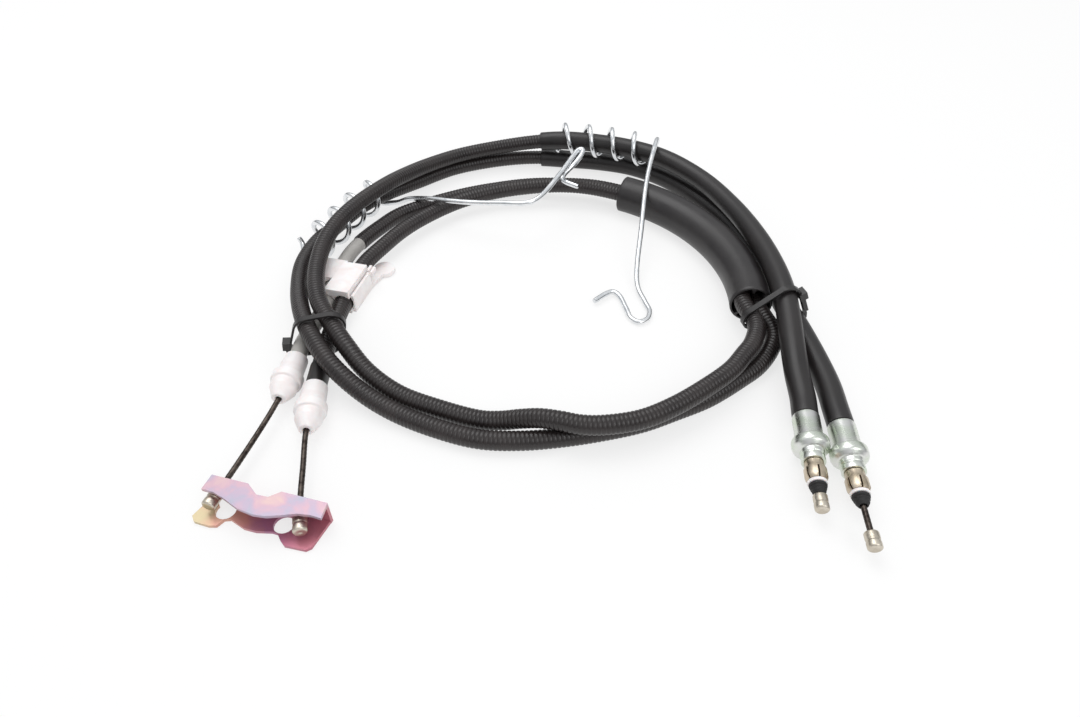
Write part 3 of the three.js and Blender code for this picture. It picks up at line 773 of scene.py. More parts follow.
# Undyed nylon: off-white, milky at its edges
UNDYED_NYLON = NaturalNylon("moulded_undyed_nylon", Slot.WHITE_PLASTIC, "#faf5f4", 0.34)
# Bright zinc on turned steel: pale grey with a hint of green, and turning rings
ZINC_FERRULE = PlatedSteel(
    "turned_steel_bright_zinc", Slot.ZINC_FERRULE, "#e2e2e0", 0.27, tint="#cfd8c8"
)
# Nickel on a saw-cut collet: warmer, softer reflections
NICKEL_COLLET = PlatedSteel(
    "saw_cut_steel_nickel", Slot.ZINC_COLLET, "#d6c8b4", 0.3, tint="#b5a792", turned=False
)
# Nickel on a swaged nipple: cream-grey, dull from the swaging dies
NICKEL_NIPPLE = PlatedSteel(
    "swaged_steel_nickel", Slot.NIPPLE, "#d8d0c2", 0.34, tint="#bcb3a4", mark_mm=0.7
)
# Bright zinc on drawn spring wire: silver-white, bright, with soft shallow dents
ZINC_SPRING = PlatedSteel(
    "drawn_spring_wire_zinc",
    Slot.SPRING_WIRE,
    "#f0f1f2",
    0.2,
    tint="#dcdfe2",
    mark_mm=1.4,
    mark_depth_mm=0.02,
    turned=False,
)
# Oiled strand of drawn steel wires: dark brown-grey with small glints
OILED_STRAND = PlatedSteel(
    "stranded_steel_oiled",
    Slot.WIRE,
    "#5d554f",
    0.34,
    tint="#2f2927",
    tint_mm=3.0,
    mark_mm=0.3,
    turned=False,
)
# Yellow passivate on pressed steel: grey lavender to rose above, sand to magenta below; the greyer
# tone above is a painted reflection
YELLOW_ZINC = YellowPassivate("pressed_steel_yellow_passivated", Slot.YELLOW_ZINC, "#cdb5b4", 0.34)


class Shop:
    """Makes each finish once and dresses pieces with it."""

    WELD_MM = 0.005
    BEVEL_ANGLE = math.radians(40)

    def __init__(self) -> None:
        """Starts with no material made."""
        self.made: dict[str, bpy.types.Material] = {}

    def material(self, finish: Finish) -> bpy.types.Material:
        """Gives a finish's material, and makes it the first time.

        Args:
            finish: The finish.

        Returns:
            Its Blender material.
        """
        if finish.name not in self.made:
            self.made[finish.name] = finish.build()
        return self.made[finish.name]

    def dress(
        self,
        piece: bpy.types.Object,
        finish: Finish,
        body: Body = Body.CASING,
        nodes: tuple[str, ...] = (),
    ) -> bpy.types.Object:
        """Finishes a new piece and ties it to the frame.

        Args:
            piece: The piece, in its place.
            finish: Its surface finish.
            body: The body that it moves with.
            nodes: The CAD nodes that it stands for.

        Returns:
            The same piece.
        """
        piece.data.materials.append(self.material(finish))
        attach(piece, body.value)
        if nodes:
            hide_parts(*nodes)
        log.info("made %s: %d faces", piece.name, len(piece.data.polygons))
        return piece

    def refinish(self, node: str, finish: Finish, edge_mm: float) -> bpy.types.Object:
        """Gives a CAD node its finish and softens its edges.

        Args:
            node: The CAD node's name.
            finish: Its surface finish.
            edge_mm: Width of the softened edges.

        Returns:
            The node's object.
        """
        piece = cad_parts[node]
        piece.data.materials.clear()
        piece.data.materials.append(self.material(finish))
        weld = piece.modifiers.new("joined corners", "WELD")
        weld.merge_threshold = self.WELD_MM * MM
        bevel = piece.modifiers.new("softened edges", "BEVEL")
        bevel.width = edge_mm * MM
        bevel.segments = 2
        bevel.limit_method = "ANGLE"
        bevel.angle_limit = self.BEVEL_ANGLE
        piece.data.shade_smooth()
        smooth = piece.modifiers.new("even shading", "WEIGHTED_NORMAL")
        smooth.keep_sharp = True
        log.info("refinished %s", node)
        return piece


# Shapes


class SmoothLine:
    """A centripetal Catmull-Rom curve that is read by its length, as the CAD source reads it."""

    PER_SPAN = 40
    SEARCH_STEP = 0.5 * MM

    def __init__(self, points: tuple | np.ndarray) -> None:
        """Samples the curve finely.

        Args:
            points: The points that it runs through, in the row frame.
        """
        given = np.array(points, float)
        first = 2 * given[0] - given[1]
        last = 2 * given[-1] - given[-2]
        run = np.vstack([first, given, last])
        share = np.linspace(0, 1, self.PER_SPAN, endpoint=False)[:, None]
        spans = [self.span(run[i : i + 4], share) for i in range(len(given) - 1)]
        self.points = np.vstack([*spans, given[-1:]])
        steps = np.linalg.norm(np.diff(self.points, axis=0), axis=1)
        self.lengths = np.concatenate([[0.0], np.cumsum(steps)])
        self.total = float(self.lengths[-1])

    @staticmethod
    def span(four: np.ndarray, share: np.ndarray) -> np.ndarray:
        """Samples the span between the middle two of four points.

        Args:
            four: Four points in a row.
            share: The places along the span, from 0 to 1.

        Returns:
            The sampled points.
        """
        gaps = np.sqrt(np.linalg.norm(np.diff(four, axis=0), axis=1))
        before, here, after = gaps
        a, b, c, d = four
        leave = ((b - a) / before - (c - a) / (before + here) + (c - b) / here) * here
        arrive = ((c - b) / here - (d - b) / (here + after) + (d - c) / after) * here
        square = -3 * b + 3 * c - 2 * leave - arrive
        cube = 2 * b - 2 * c + leave + arrive
        return b + leave * share + square * share**2 + cube * share**3

    def at(self, lengths: float | np.ndarray) -> np.ndarray:
        """Finds the points at lengths along the curve."""
        return np.stack([np.interp(lengths, self.lengths, axis) for axis in self.points.T], -1)

    def near(self, point: Point) -> float:
        """Finds the length at the place nearest a point, to the search step.

        Args:
            point: A point before the loop's shift.

        Returns:
            The length from the curve's start.
        """
        steps = np.arange(0, self.total, self.SEARCH_STEP)
        target = np.array(point) + LOOP_SHIFT
        return float(steps[np.argmin(np.linalg.norm(self.at(steps) - target, axis=1))])


def shifted(points: tuple) -> np.ndarray:
    """Moves points of the loop into the row frame."""
    return np.array(points, float) + LOOP_SHIFT


def angles_round(sides: int) -> np.ndarray:
    """Spreads angles evenly round a full turn."""
    return np.arange(sides) * 2 * math.pi / sides


def solid_mesh(name: str, rings: np.ndarray, ring_closes: bool = False) -> bpy.types.Object:
    """Makes a closed solid through rings of points.

    Args:
        name: The piece's name.
        rings: Points by ring and by place on the ring.
        ring_closes: Whether the last ring joins the first, as on a torus.

    Returns:
        The new object, with faces turned outwards and sharp edges kept sharp.
    """
    count, sides, _ = rings.shape
    faces = []
    for i in range(count if ring_closes else count - 1):
        here, there = i * sides, ((i + 1) % count) * sides
        for j in range(sides):
            k = (j + 1) % sides
            faces.append((here + j, here + k, there + k, there + j))
    if not ring_closes:
        faces.append(tuple(range(sides))[::-1])
        faces.append(tuple(range((count - 1) * sides, count * sides)))
    mesh = bpy.data.meshes.new(name)
    mesh.from_pydata(rings.reshape(-1, 3).tolist(), [], faces)
    shape = bmesh.new()
    shape.from_mesh(mesh)
    bmesh.ops.remove_doubles(shape, verts=shape.verts, dist=WELD_GAP)
    bmesh.ops.recalc_face_normals(shape, faces=shape.faces)
    shape.to_mesh(mesh)
    shape.free()
    mesh.shade_smooth()
    mesh.set_sharp_from_angle(angle=SHARP_ANGLE)
    piece = bpy.data.objects.new(name, mesh)
    bpy.context.scene.collection.objects.link(piece)
    return piece


def frames_along(centres: np.ndarray) -> tuple[np.ndarray, np.ndarray]:
    """Finds two cross directions at each of a row of points, without twist.

    Args:
        centres: The points.

    Returns:
        The first and second cross directions.
    """
    tangents = np.gradient(centres, axis=0)
    tangents /= np.linalg.norm(tangents, axis=1)[:, None]
    across = []
    last = np.array([0.0, 0.0, 1.0])
    for tangent in tangents:
        last = last - tangent * last.dot(tangent)
        last = last / np.linalg.norm(last)
        across.append(last)
    first = np.array(across)
    return first, np.cross(tangents, first)


def tube_rings(centres: np.ndarray, radii: np.ndarray) -> np.ndarray:
    """Places rings round a row of points.

    Args:
        centres: The rings' centres.
        radii: Radius by ring and by place on the ring.

    Returns:
        Points by ring and by place on the ring.
    """
    first, second = frames_along(centres)
    angles = angles_round(radii.shape[1])
    reach = first[:, None] * np.cos(angles)[:, None] + second[:, None] * np.sin(angles)[:, None]
    return centres[:, None] + reach * radii[:, :, None]


def tube(name: str, centres: np.ndarray, radii: np.ndarray, sides: int) -> bpy.types.Object:
    """Makes a solid round tube whose radius changes along it.

    Args:
        name: The piece's name.
        centres: Points along its centre line.
        radii: Its radius at each of them.
        sides: Number of points round it.

    Returns:
        The new object.
    """
    return solid_mesh(name, tube_rings(centres, np.repeat(radii[:, None], sides, axis=1)))


@dataclass
class RoundStock:
    """A sleeve or wire of one radius whose ends are softened."""

    radius: float
    soft: float
    shoulder: float
    sides: int

    def make(
        self, name: str, line: SmoothLine, start: float, middle: np.ndarray, end: float
    ) -> bpy.types.Object:
        """Makes it along a line.

        Args:
            name: The piece's name.
            line: Its centre line.
            start: Its start along the line.
            middle: The lengths between its softened ends.
            end: Its end along the line.

        Returns:
            The new object.
        """
        # The second ring stands a little in from the end, as the shoulder of a rounded rim
        step = self.soft * 0.4
        lengths = np.concatenate([[start, start + step], middle, [end - step, end]])
        radii = np.full(len(lengths), self.radius)
        radii[[0, -1]] -= self.soft
        radii[[1, -2]] -= self.soft * self.shoulder
        return tube(name, line.at(lengths), radii, self.sides)


def rounded(profile: tuple, radius: float) -> list[tuple[float, float]]:
    """Rounds the corners of a turned profile.

    Args:
        profile: Pairs of radius and height.
        radius: How far each corner is cut back.

    Returns:
        The profile with three points at each corner.
    """
    made = [profile[0]]
    for before, corner, after in zip(profile, profile[1:], profile[2:]):
        here = np.array(corner)
        back, on = np.array(before) - here, np.array(after) - here
        cut = min(radius, CORNER_SHARE * np.linalg.norm(back), CORNER_SHARE * np.linalg.norm(on))
        start = here + back / np.linalg.norm(back) * cut
        end = here + on / np.linalg.norm(on) * cut
        middle = (start + end) / 4 + here / 2
        made += [tuple(start), tuple(middle), tuple(end)]
    return [*made, profile[-1]]


@dataclass
class Turned:
    """A turned piece that stands on a point, with its height along a direction."""

    start: np.ndarray
    direction: np.ndarray
    sides: int = 48

    def make(self, name: str, profile: tuple, edge_mm: float) -> bpy.types.Object:
        """Turns a closed profile round its axis.

        Args:
            name: The piece's name.
            profile: Pairs of radius and height in millimetres, which ends where it starts.
            edge_mm: How far its corners are rounded.

        Returns:
            The new object, in its place.
        """
        pairs = np.array(rounded(profile, edge_mm)[:-1]) * MM
        angles = angles_round(self.sides)
        rings = np.stack(
            [
                pairs[:, :1] * np.cos(angles),
                pairs[:, :1] * np.sin(angles),
                np.repeat(pairs[:, 1:], self.sides, axis=1),
            ],
            -1,
        )
        piece = solid_mesh(name, rings, ring_closes=True)
        turn = Vector((0, 0, 1)).rotation_difference(Vector(self.direction)).to_matrix().to_4x4()
        piece.matrix_world = Matrix.Translation(Vector(self.start)) @ turn
        return piece


# Sub-assemblies


@dataclass
class Strand:
    """A wire rope: a ring of drawn wires laid round a core.

    The wires are fewer and thicker than the real rope's, so that they show.
    """

    radius: float = 1.45 * MM
    wires: int = 7
    groove: float = 0.17
    lay: float = 16 * MM
    sides: int = 28

    def make(self, name: str, centres: np.ndarray, lengths: np.ndarray) -> bpy.types.Object:
        """Lays the rope along a row of points.

        Args:
            name: The piece's name.
            centres: Points along its centre line.
            lengths: The length at each of them.

        Returns:
            The new object.
        """
        angles = angles_round(self.sides)
        turned = angles[None, :] - (lengths * 2 * math.pi / self.lay)[:, None]
        crown = np.abs(np.cos(turned * self.wires / 2))
        radii = self.radius * (1 - self.groove * (1 - crown) ** 1.5)
        return solid_mesh(name, tube_rings(centres, radii))


@dataclass
class Cable:
    """One cable from its front nipple to its rear ferrule: conduit, sleeves and inner wire."""

    letter: str
    route: tuple
    front_barrel: Point
    front_sleeve_end: Point
    rear_sleeve_start: Point
    rear_barrel: Point
    front_radius: float
    front_finish: Finish
    conduit_length: float
    drawn_out: float
    hose_radius: float = 5.25 * MM
    hidden_radius: float = 3.9 * MM
    rib_pitch: float = 2.3 * MM
    rib_depth: float = 0.34 * MM
    rear_radius: float = 6.75 * MM
    socket: float = 9 * MM
    gap: float = 0.3 * MM
    sleeve_edge: float = 0.5 * MM
    sleeve_step: float = 3 * MM
    hidden_step: float = 5 * MM
    wire_start: float = 3.9 * MM  # just past the bottom of the nipple's bore
    wire_end_gap: float = 10 * MM
    wire_hidden_step: float = 4 * MM
    line: SmoothLine = field(init=False)
    front_end: float = field(init=False)
    sleeve_end: float = field(init=False)
    rear_start: float = field(init=False)
    rear_end: float = field(init=False)
    path: np.ndarray = field(init=False)

    def __post_init__(self) -> None:
        """Reads the route and finds where its stretches begin."""
        self.line = SmoothLine(shifted(self.route))
        self.front_end = self.line.near(self.front_barrel)
        self.sleeve_end = self.line.near(self.front_sleeve_end)
        self.rear_start = self.line.near(self.rear_sleeve_start)
        self.rear_end = self.line.near(self.rear_barrel)

    def direction(self) -> np.ndarray:
        """Finds the direction in which the rear fittings run.

        Returns:
            A unit vector from the rear ferrule to the wire's end.
        """
        reach = self.line.at(self.line.total) - self.line.at(self.rear_end)
        return reach / np.linalg.norm(reach)

    def rib_lengths(self) -> tuple[np.ndarray, np.ndarray]:
        """Places the rings of the ribbed stretch.

        Returns:
            The rings' lengths along the cable and their radii.
        """
        crest = ((0.0, 0.0), (0.16, 0.72), (0.34, 1.0), (0.62, 1.0), (0.84, 0.66))
        start, end = self.sleeve_end + self.gap, self.rear_start
        ribs = round((end - start) / self.rib_pitch)
        pitch = (end - start) / ribs
        shares = np.array([share for share, _ in crest])
        heights = np.array([height for _, height in crest])
        lengths = (start + (np.arange(ribs)[:, None] + shares) * pitch).ravel()
        depth = self.rib_depth * (1 - np.tile(heights, ribs))
        return np.append(lengths, end), np.append(self.hose_radius - depth, self.hose_radius)

    def conduit(self, shop: Shop) -> bpy.types.Object:
        """Makes the ribbed conduit, which runs on thinner below both sleeves.

        Args:
            shop: Dresses the piece.

        Returns:
            The conduit.
        """
        ribs, radii = self.rib_lengths()
        below_start = self.front_end - self.socket / 2
        below_front = np.arange(below_start, ribs[0] - self.gap, self.hidden_step)
        below_rear = np.arange(ribs[-1] + self.gap, self.rear_end, self.hidden_step)
        lengths = np.concatenate([below_front, ribs, below_rear])
        all_radii = np.concatenate(
            [
                np.full(len(below_front), self.hidden_radius),
                radii,
                np.full(len(below_rear), self.hidden_radius),
            ]
        )
        self.path = self.line.at(lengths)
        piece = tube(f"ribbed_conduit_{self.letter}", self.path, all_radii, 24)
        return shop.dress(piece, CONDUIT, nodes=(f"hose_{self.letter}",))

    def sleeve(self, name: str, start: float, end: float, radius: float) -> bpy.types.Object:
        """Makes a plain sleeve with softened ends.

        Args:
            name: The piece's name.
            start: Its start along the cable.
            end: Its end along the cable.
            radius: Its outer radius.

        Returns:
            The new object.
        """
        soft = self.sleeve_edge
        count = max(int((end - start) / self.sleeve_step), 4)
        middle = np.linspace(start + 2 * soft, end - 2 * soft, count)
        stock = RoundStock(radius, soft, shoulder=0.25, sides=36)
        return stock.make(name, self.line, start, middle, end)

    def sleeves(self, shop: Shop) -> list[bpy.types.Object]:
        """Makes the front and the rear sleeve.

        Args:
            shop: Dresses the pieces.

        Returns:
            Both sleeves.
        """
        front = self.sleeve(
            f"front_sleeve_{self.letter}_plain",
            self.front_end - self.socket + self.gap,
            self.sleeve_end,
            self.front_radius,
        )
        rear = self.sleeve(
            f"rear_sleeve_{self.letter}_plain",
            self.rear_start + self.gap,
            self.rear_end - self.gap,
            self.rear_radius,
        )
        shop.dress(front, self.front_finish, nodes=(f"front_sleeve_{self.letter}",))
        shop.dress(rear, EPDM_SLEEVE, nodes=(f"rear_sleeve_{self.letter}",))
        return [front, rear]

    def inner_wire(self, shop: Shop) -> bpy.types.Object:
        """Makes the stranded wire: fine where it shows, coarse inside the conduit.

        Args:
            shop: Dresses the piece.

        Returns:
            The new object.
        """
        bare_end = self.front_end - self.socket
        bare = np.arange(self.wire_start, bare_end, WIRE_STEP_MM * MM)
        hidden = np.arange(
            bare_end + self.wire_hidden_step,
            self.rear_end - self.wire_end_gap,
            self.wire_hidden_step,
        )
        lengths = np.concatenate([bare, hidden])
        piece = Strand().make(f"stranded_wire_{self.letter}", self.line.at(lengths), lengths)
        return shop.dress(piece, OILED_STRAND, nodes=(f"inner_wire_{self.letter}",))

    def declare(self, conduit: bpy.types.Object, with_pieces: list[bpy.types.Object]) -> None:
        """Args:
            conduit: The conduit's mesh; not used.
            with_pieces: The pieces that lie on it; not used.
        """


@dataclass
class Nipple:
    """A swaged nipple that the wire ends in."""

    radius_mm: float = 3.45
    length_mm: float = 8.6
    bore_mm: float = 1.5
    bore_depth_mm: float = 4.6
    bevel_mm: float = 0.6
    waist_depth_mm: float = 0.16
    edge_mm: float = 0.3

    def profile(self) -> tuple:
        """Outlines the nipple, with a shallow dimple in its end and a swaged waist.

        Returns:
            The closed profile from its tip to its mouth.
        """
        r, h = self.radius_mm, self.length_mm
        waist, bottom = r - self.waist_depth_mm, h - self.bore_depth_mm
        return (
            (0.0, 0.5),
            (1.2, 0.12),
            (r - self.bevel_mm, 0.0),
            (r, self.bevel_mm),
            (r, h * 0.38),
            (waist, h * 0.44),
            (waist, h * 0.52),
            (r, h * 0.58),
            (r, h - self.bevel_mm),
            (r - self.bevel_mm, h),
            (self.bore_mm, h),
            (self.bore_mm, bottom),
            (0.0, bottom),
            (0.0, 0.5),
        )

    def make(self, name: str, tip: np.ndarray, way: np.ndarray) -> bpy.types.Object:
        """Turns the nipple.

        Args:
            name: The piece's name.
            tip: The middle of its end face.
            way: The direction from its tip to its mouth.

        Returns:
            The new object.
        """
        return Turned(tip, way).make(name, self.profile(), self.edge_mm)


@dataclass
class FrontEnd:
    """The white plastic ferrule and the nipple at a cable's front."""

    cable: Cable
    collar_mm: float = 7.2
    flange_mm: float = 8.6
    body_mm: float = 7.3
    nose_mm: float = 3.9
    length_mm: float = 31.0
    socket_mm: float = 9.0
    bore_mm: float = 1.75
    socket_gap_mm: float = 0.15
    edge_mm: float = 0.45

    def profile(self) -> tuple:
        """Outlines the ferrule.

        Returns:
            The closed profile from its mouth to its nose.
        """
        socket = self.cable.front_radius / MM + self.socket_gap_mm
        return (
            (socket, 0.0),
            (self.collar_mm - 0.6, 0.0),
            (self.collar_mm, 13.0),
            (self.flange_mm, 14.0),
            (self.flange_mm, 19.0),
            (self.body_mm, 19.6),
            (self.body_mm, 24.0),
            (self.nose_mm, self.length_mm),
            (self.bore_mm, self.length_mm),
            (self.bore_mm, self.socket_mm),
            (socket, self.socket_mm),
            (socket, 0.0),
        )

    def make(self, shop: Shop) -> list[bpy.types.Object]:
        """Makes the ferrule and the nipple.

        Args:
            shop: Dresses the pieces.

        Returns:
            Both pieces.
        """
        line, letter = self.cable.line, self.cable.letter
        mouth = line.at(self.cable.front_end)
        way = line.at(self.cable.front_end - self.length_mm * MM) - mouth
        ferrule = Turned(mouth, way).make(
            f"white_ferrule_{letter}", self.profile(), self.edge_mm
        )
        tip = line.at(0.0)
        inwards = line.at(Nipple().length_mm * MM) - tip
        nipple = Nipple().make(f"swaged_nipple_{letter}", tip, inwards)
        shop.dress(ferrule, UNDYED_NYLON, nodes=(f"front_ferrule_{letter}",))
        shop.dress(nipple, NICKEL_NIPPLE, nodes=(f"front_nipple_{letter}",))
        return [ferrule, nipple]


@dataclass
class RearEnd:
    """The steel ferrule, collet, ring, boot, sliding wire and nipple at a cable's rear."""

    cable: Cable
    body: Body
    barrel_mm: float = 7.0
    barrel_length_mm: float = 16.0
    dome_mm: float = 9.3
    dome_length_mm: float = 7.5
    nose_mm: float = 5.9
    nose_length_mm: float = 6.5
    collet_length_mm: float = 11.0
    ring_mm: float = 4.7
    ring_length_mm: float = 1.6
    boot_mm: float = 4.3
    boot_tip_mm: float = 2.5
    boot_length_mm: float = 5.6
    bore_mm: float = 1.75
    gap_mm: float = 0.3
    wire_inside_mm: float = 26.0
    wire_in_nipple_mm: float = 4.5
    ferrule_edge_mm: float = 0.35
    edge_mm: float = 0.3
    collet_edge_mm: float = 0.15

    def ferrule_profile(self) -> tuple:
        """Outlines the ferrule.

        Returns:
            The closed profile of its barrel, step ring, dome and nose.
        """
        b, d, n = self.barrel_mm, self.dome_mm, self.nose_mm
        step = self.barrel_length_mm
        top = step + self.dome_length_mm
        end = top + self.nose_length_mm
        return (
            (self.bore_mm, 0.0),
            (b - 0.5, 0.0),
            (b, 0.6),
            (b, step - 1.8),
            (b + 0.6, step - 1.6),
            (b + 0.6, step),
            (d, step + 1.0),
            (d, step + 4.4),
            (d - 0.45, step + 5.6),
            (d - 1.3, top - 1.2),
            (n + 1.0, top - 0.3),
            (n, top),
            (n, top + 2.2),
            (n - 0.3, top + 2.5),
            (n - 0.3, top + 3.3),
            (n, top + 3.6),
            (n, end),
            (self.bore_mm, end),
            (self.bore_mm, 0.0),
        )

    def boot_profile(self) -> tuple:
        """Outlines the wiping boot.

        Returns:
            The closed profile with its two folds.
        """
        b, t, h = self.boot_mm, self.boot_tip_mm, self.boot_length_mm
        return (
            (self.bore_mm, 0.0),
            (b, 0.0),
            (b, 1.2),
            (b - 0.75, 1.55),
            (b - 0.35, 2.5),
            (b - 1.1, 3.1),
            (b - 0.9, 4.0),
            (t + 0.3, h * 0.86),
            (t, h),
            (self.bore_mm, h),
            (self.bore_mm, 0.0),
        )

    def make(self, shop: Shop) -> list[bpy.types.Object]:
        """Makes the rear pieces in a row, and softens the collet.

        Args:
            shop: Dresses the pieces.

        Returns:
            The pieces that are fixed to the cable, the collet's CAD node among them.
        """
        letter = self.cable.letter
        start = self.cable.line.at(self.cable.rear_end)
        way = self.cable.direction()
        ferrule_end = self.barrel_length_mm + self.dome_length_mm + self.nose_length_mm
        ring_at = ferrule_end + self.gap_mm + self.collet_length_mm + self.gap_mm
        boot_at = ring_at + self.ring_length_mm + self.gap_mm
        nipple_at = boot_at + self.boot_length_mm + self.gap_mm + self.cable.drawn_out
        ferrule = Turned(start, way).make(
            f"zinc_ferrule_{letter}", self.ferrule_profile(), self.ferrule_edge_mm
        )
        ring_profile = (
            (self.bore_mm, 0.0),
            (self.ring_mm, 0.0),
            (self.ring_mm, self.ring_length_mm),
            (self.bore_mm, self.ring_length_mm),
            (self.bore_mm, 0.0),
        )
        ring = Turned(start + way * ring_at * MM, way).make(
            f"white_ring_{letter}", ring_profile, self.edge_mm
        )
        boot = Turned(start + way * boot_at * MM, way).make(
            f"wiping_boot_{letter}", self.boot_profile(), self.edge_mm
        )
        shop.dress(ferrule, ZINC_FERRULE, nodes=(f"rear_ferrule_{letter}",))
        shop.dress(ring, UNDYED_NYLON, nodes=(f"seal_ring_{letter}",))
        shop.dress(boot, NITRILE_BOOT, nodes=(f"boot_{letter}",))
        collet = shop.refinish(f"collet_{letter}", NICKEL_COLLET, self.collet_edge_mm)
        self.sliding_end(shop, start, way, nipple_at)
        return [ferrule, ring, boot, collet]

    def sliding_end(self, shop: Shop, start: np.ndarray, way: np.ndarray, at_mm: float) -> None:
        """Makes the wire that slides and its nipple.

        Args:
            shop: Dresses the pieces.
            start: Where the rear fittings begin.
            way: Their direction.
            at_mm: The nipple's distance from their start.
        """
        letter = self.cable.letter
        nipple = Nipple()
        tip = start + way * (at_mm + nipple.length_mm) * MM
        piece = nipple.make(f"rear_swaged_nipple_{letter}", tip, -way)
        shop.dress(piece, NICKEL_NIPPLE, self.body, (f"rear_nipple_{letter}",))
        wire_from, wire_to = at_mm - self.wire_inside_mm, at_mm + self.wire_in_nipple_mm
        lengths = np.arange(wire_from, wire_to, WIRE_STEP_MM) * MM
        centres = start + way * lengths[:, None]
        wire = Strand().make(f"rear_stranded_wire_{letter}", centres, lengths)
        shop.dress(wire, OILED_STRAND, self.body, (f"rear_wire_{letter}",))


@dataclass
class FormingGuide:
    """The stiff curved tube that holds both conduits to one bend."""

    radius: float = 12.5 * MM
    wall: float = 1.2 * MM
    rib: float = 1.6 * MM
    rib_depth: float = 2.6 * MM
    low_rib: float = 0.4 * MM
    edge: float = 0.45 * MM
    start_angle: float = 62.0
    end_angle: float = -7.0
    sides: int = 180
    steps: int = 60

    def inner_radii(self, angles: np.ndarray) -> np.ndarray:
        """Finds the bore's radius round the section, with its six ribs.

        Args:
            angles: Angles from straight down, turning outwards.

        Returns:
            The radius at each angle.
        """
        bore = self.radius - self.wall
        half = math.asin(self.rib / 2 / bore)
        ribs = (
            (-135, self.low_rib),
            (-45, self.rib_depth),
            (0, self.rib_depth),
            (45, self.low_rib),
            (135, self.rib_depth),
            (180, self.rib_depth),
        )
        radii = np.full(len(angles), bore)
        for degrees, depth in ribs:
            off = np.abs((angles - math.radians(degrees) + math.pi) % (2 * math.pi) - math.pi)
            radii = np.where(off <= half, bore - depth, radii)
        return radii

    def make(self, shop: Shop) -> bpy.types.Object:
        """Makes the guide with softened rims.

        Args:
            shop: Dresses the piece.

        Returns:
            The new object.
        """
        angles = angles_round(self.sides)
        inner = self.inner_radii(angles)
        outer = np.full(self.sides, self.radius)
        share = self.edge / (GUIDE_BEND * math.radians(self.start_angle - self.end_angle))
        places = np.linspace(share, 1 - share, self.steps)
        loops = [(0.0, outer - self.edge), *((place, outer) for place in places)]
        loops += [(1.0, outer - self.edge), (1.0, inner)]
        loops += [(place, inner) for place in places[::-1]]
        loops.append((0.0, inner))
        rings = np.array([self.ring(place, radii, angles) for place, radii in loops])
        piece = solid_mesh("forming_guide", rings, ring_closes=True)
        return shop.dress(piece, SPARK_GRAINED_POLYPROPYLENE, nodes=("guide_tube",))

    def ring(self, place: float, radii: np.ndarray, angles: np.ndarray) -> np.ndarray:
        """Places one loop of the section along the bend.

        Args:
            place: Share of the way from the start to the end.
            radii: Radius by angle.
            angles: Angles from straight down, turning outwards.

        Returns:
            The loop's points.
        """
        degrees = self.start_angle + (self.end_angle - self.start_angle) * place
        centre = shifted((guide_point(degrees, 0.0, self.radius),))[0]
        turned = math.radians(degrees)
        outwards = np.array([math.cos(turned), math.sin(turned), 0.0])
        down = np.array([0.0, 0.0, -1.0])
        reach = np.cos(angles)[:, None] * down + np.sin(angles)[:, None] * outwards
        return centre + reach * radii[:, None]


@dataclass
class HookSpring:
    """A spring wound round a cable, with a long bent arm."""

    name: str
    node: str
    axis: SmoothLine
    axis_start: float
    lift: float
    turns: float
    pitch: float
    start_angle: float
    sense: int
    before: tuple
    after: tuple
    wire_radius: float = 1.75 * MM
    coil_radius: float = 10.5 * MM
    points_per_turn: int = 13
    step: float = 1.1 * MM
    sides: int = 16
    tangent_reach: float = 0.05 * MM
    soft_share: float = 0.35  # how much thinner its end faces are

    def wound(self) -> np.ndarray:
        """Finds the points of the coil.

        Returns:
            Points along the helix.
        """
        count = round(self.turns * self.points_per_turn)
        shares = np.linspace(0, 1, count + 1)
        lengths = self.axis_start + shares * self.turns * self.pitch
        ahead = self.axis.at(lengths + self.tangent_reach)
        tangents = ahead - self.axis.at(lengths - self.tangent_reach)
        tangents /= np.linalg.norm(tangents, axis=1)[:, None]
        left = np.cross(np.array([0.0, 0.0, 1.0]), tangents)
        left /= np.linalg.norm(left, axis=1)[:, None]
        up = np.cross(tangents, left)
        angles = math.radians(self.start_angle) + self.sense * 2 * math.pi * self.turns * shares
        centres = self.axis.at(lengths) + np.array([0.0, 0.0, self.lift])
        return centres + self.coil_radius * (
            up * np.cos(angles)[:, None] + left * np.sin(angles)[:, None]
        )

    def make(self, shop: Shop) -> bpy.types.Object:
        """Makes the spring as one wire with rounded ends.

        Args:
            shop: Dresses the piece.

        Returns:
            The new object.
        """
        runs = [self.wound(), shifted(self.after)]
        if self.before:
            runs.insert(0, shifted(self.before))
        line = SmoothLine(np.vstack(runs))
        lengths = np.linspace(0, line.total, int(line.total / self.step))
        soft = self.wire_radius * self.soft_share
        stock = RoundStock(self.wire_radius, soft, shoulder=0.3, sides=self.sides)
        piece = stock.make(self.name, line, 0.0, lengths[2:-2], line.total)
        return shop.dress(piece, ZINC_SPRING, nodes=(self.node,))


# Stage


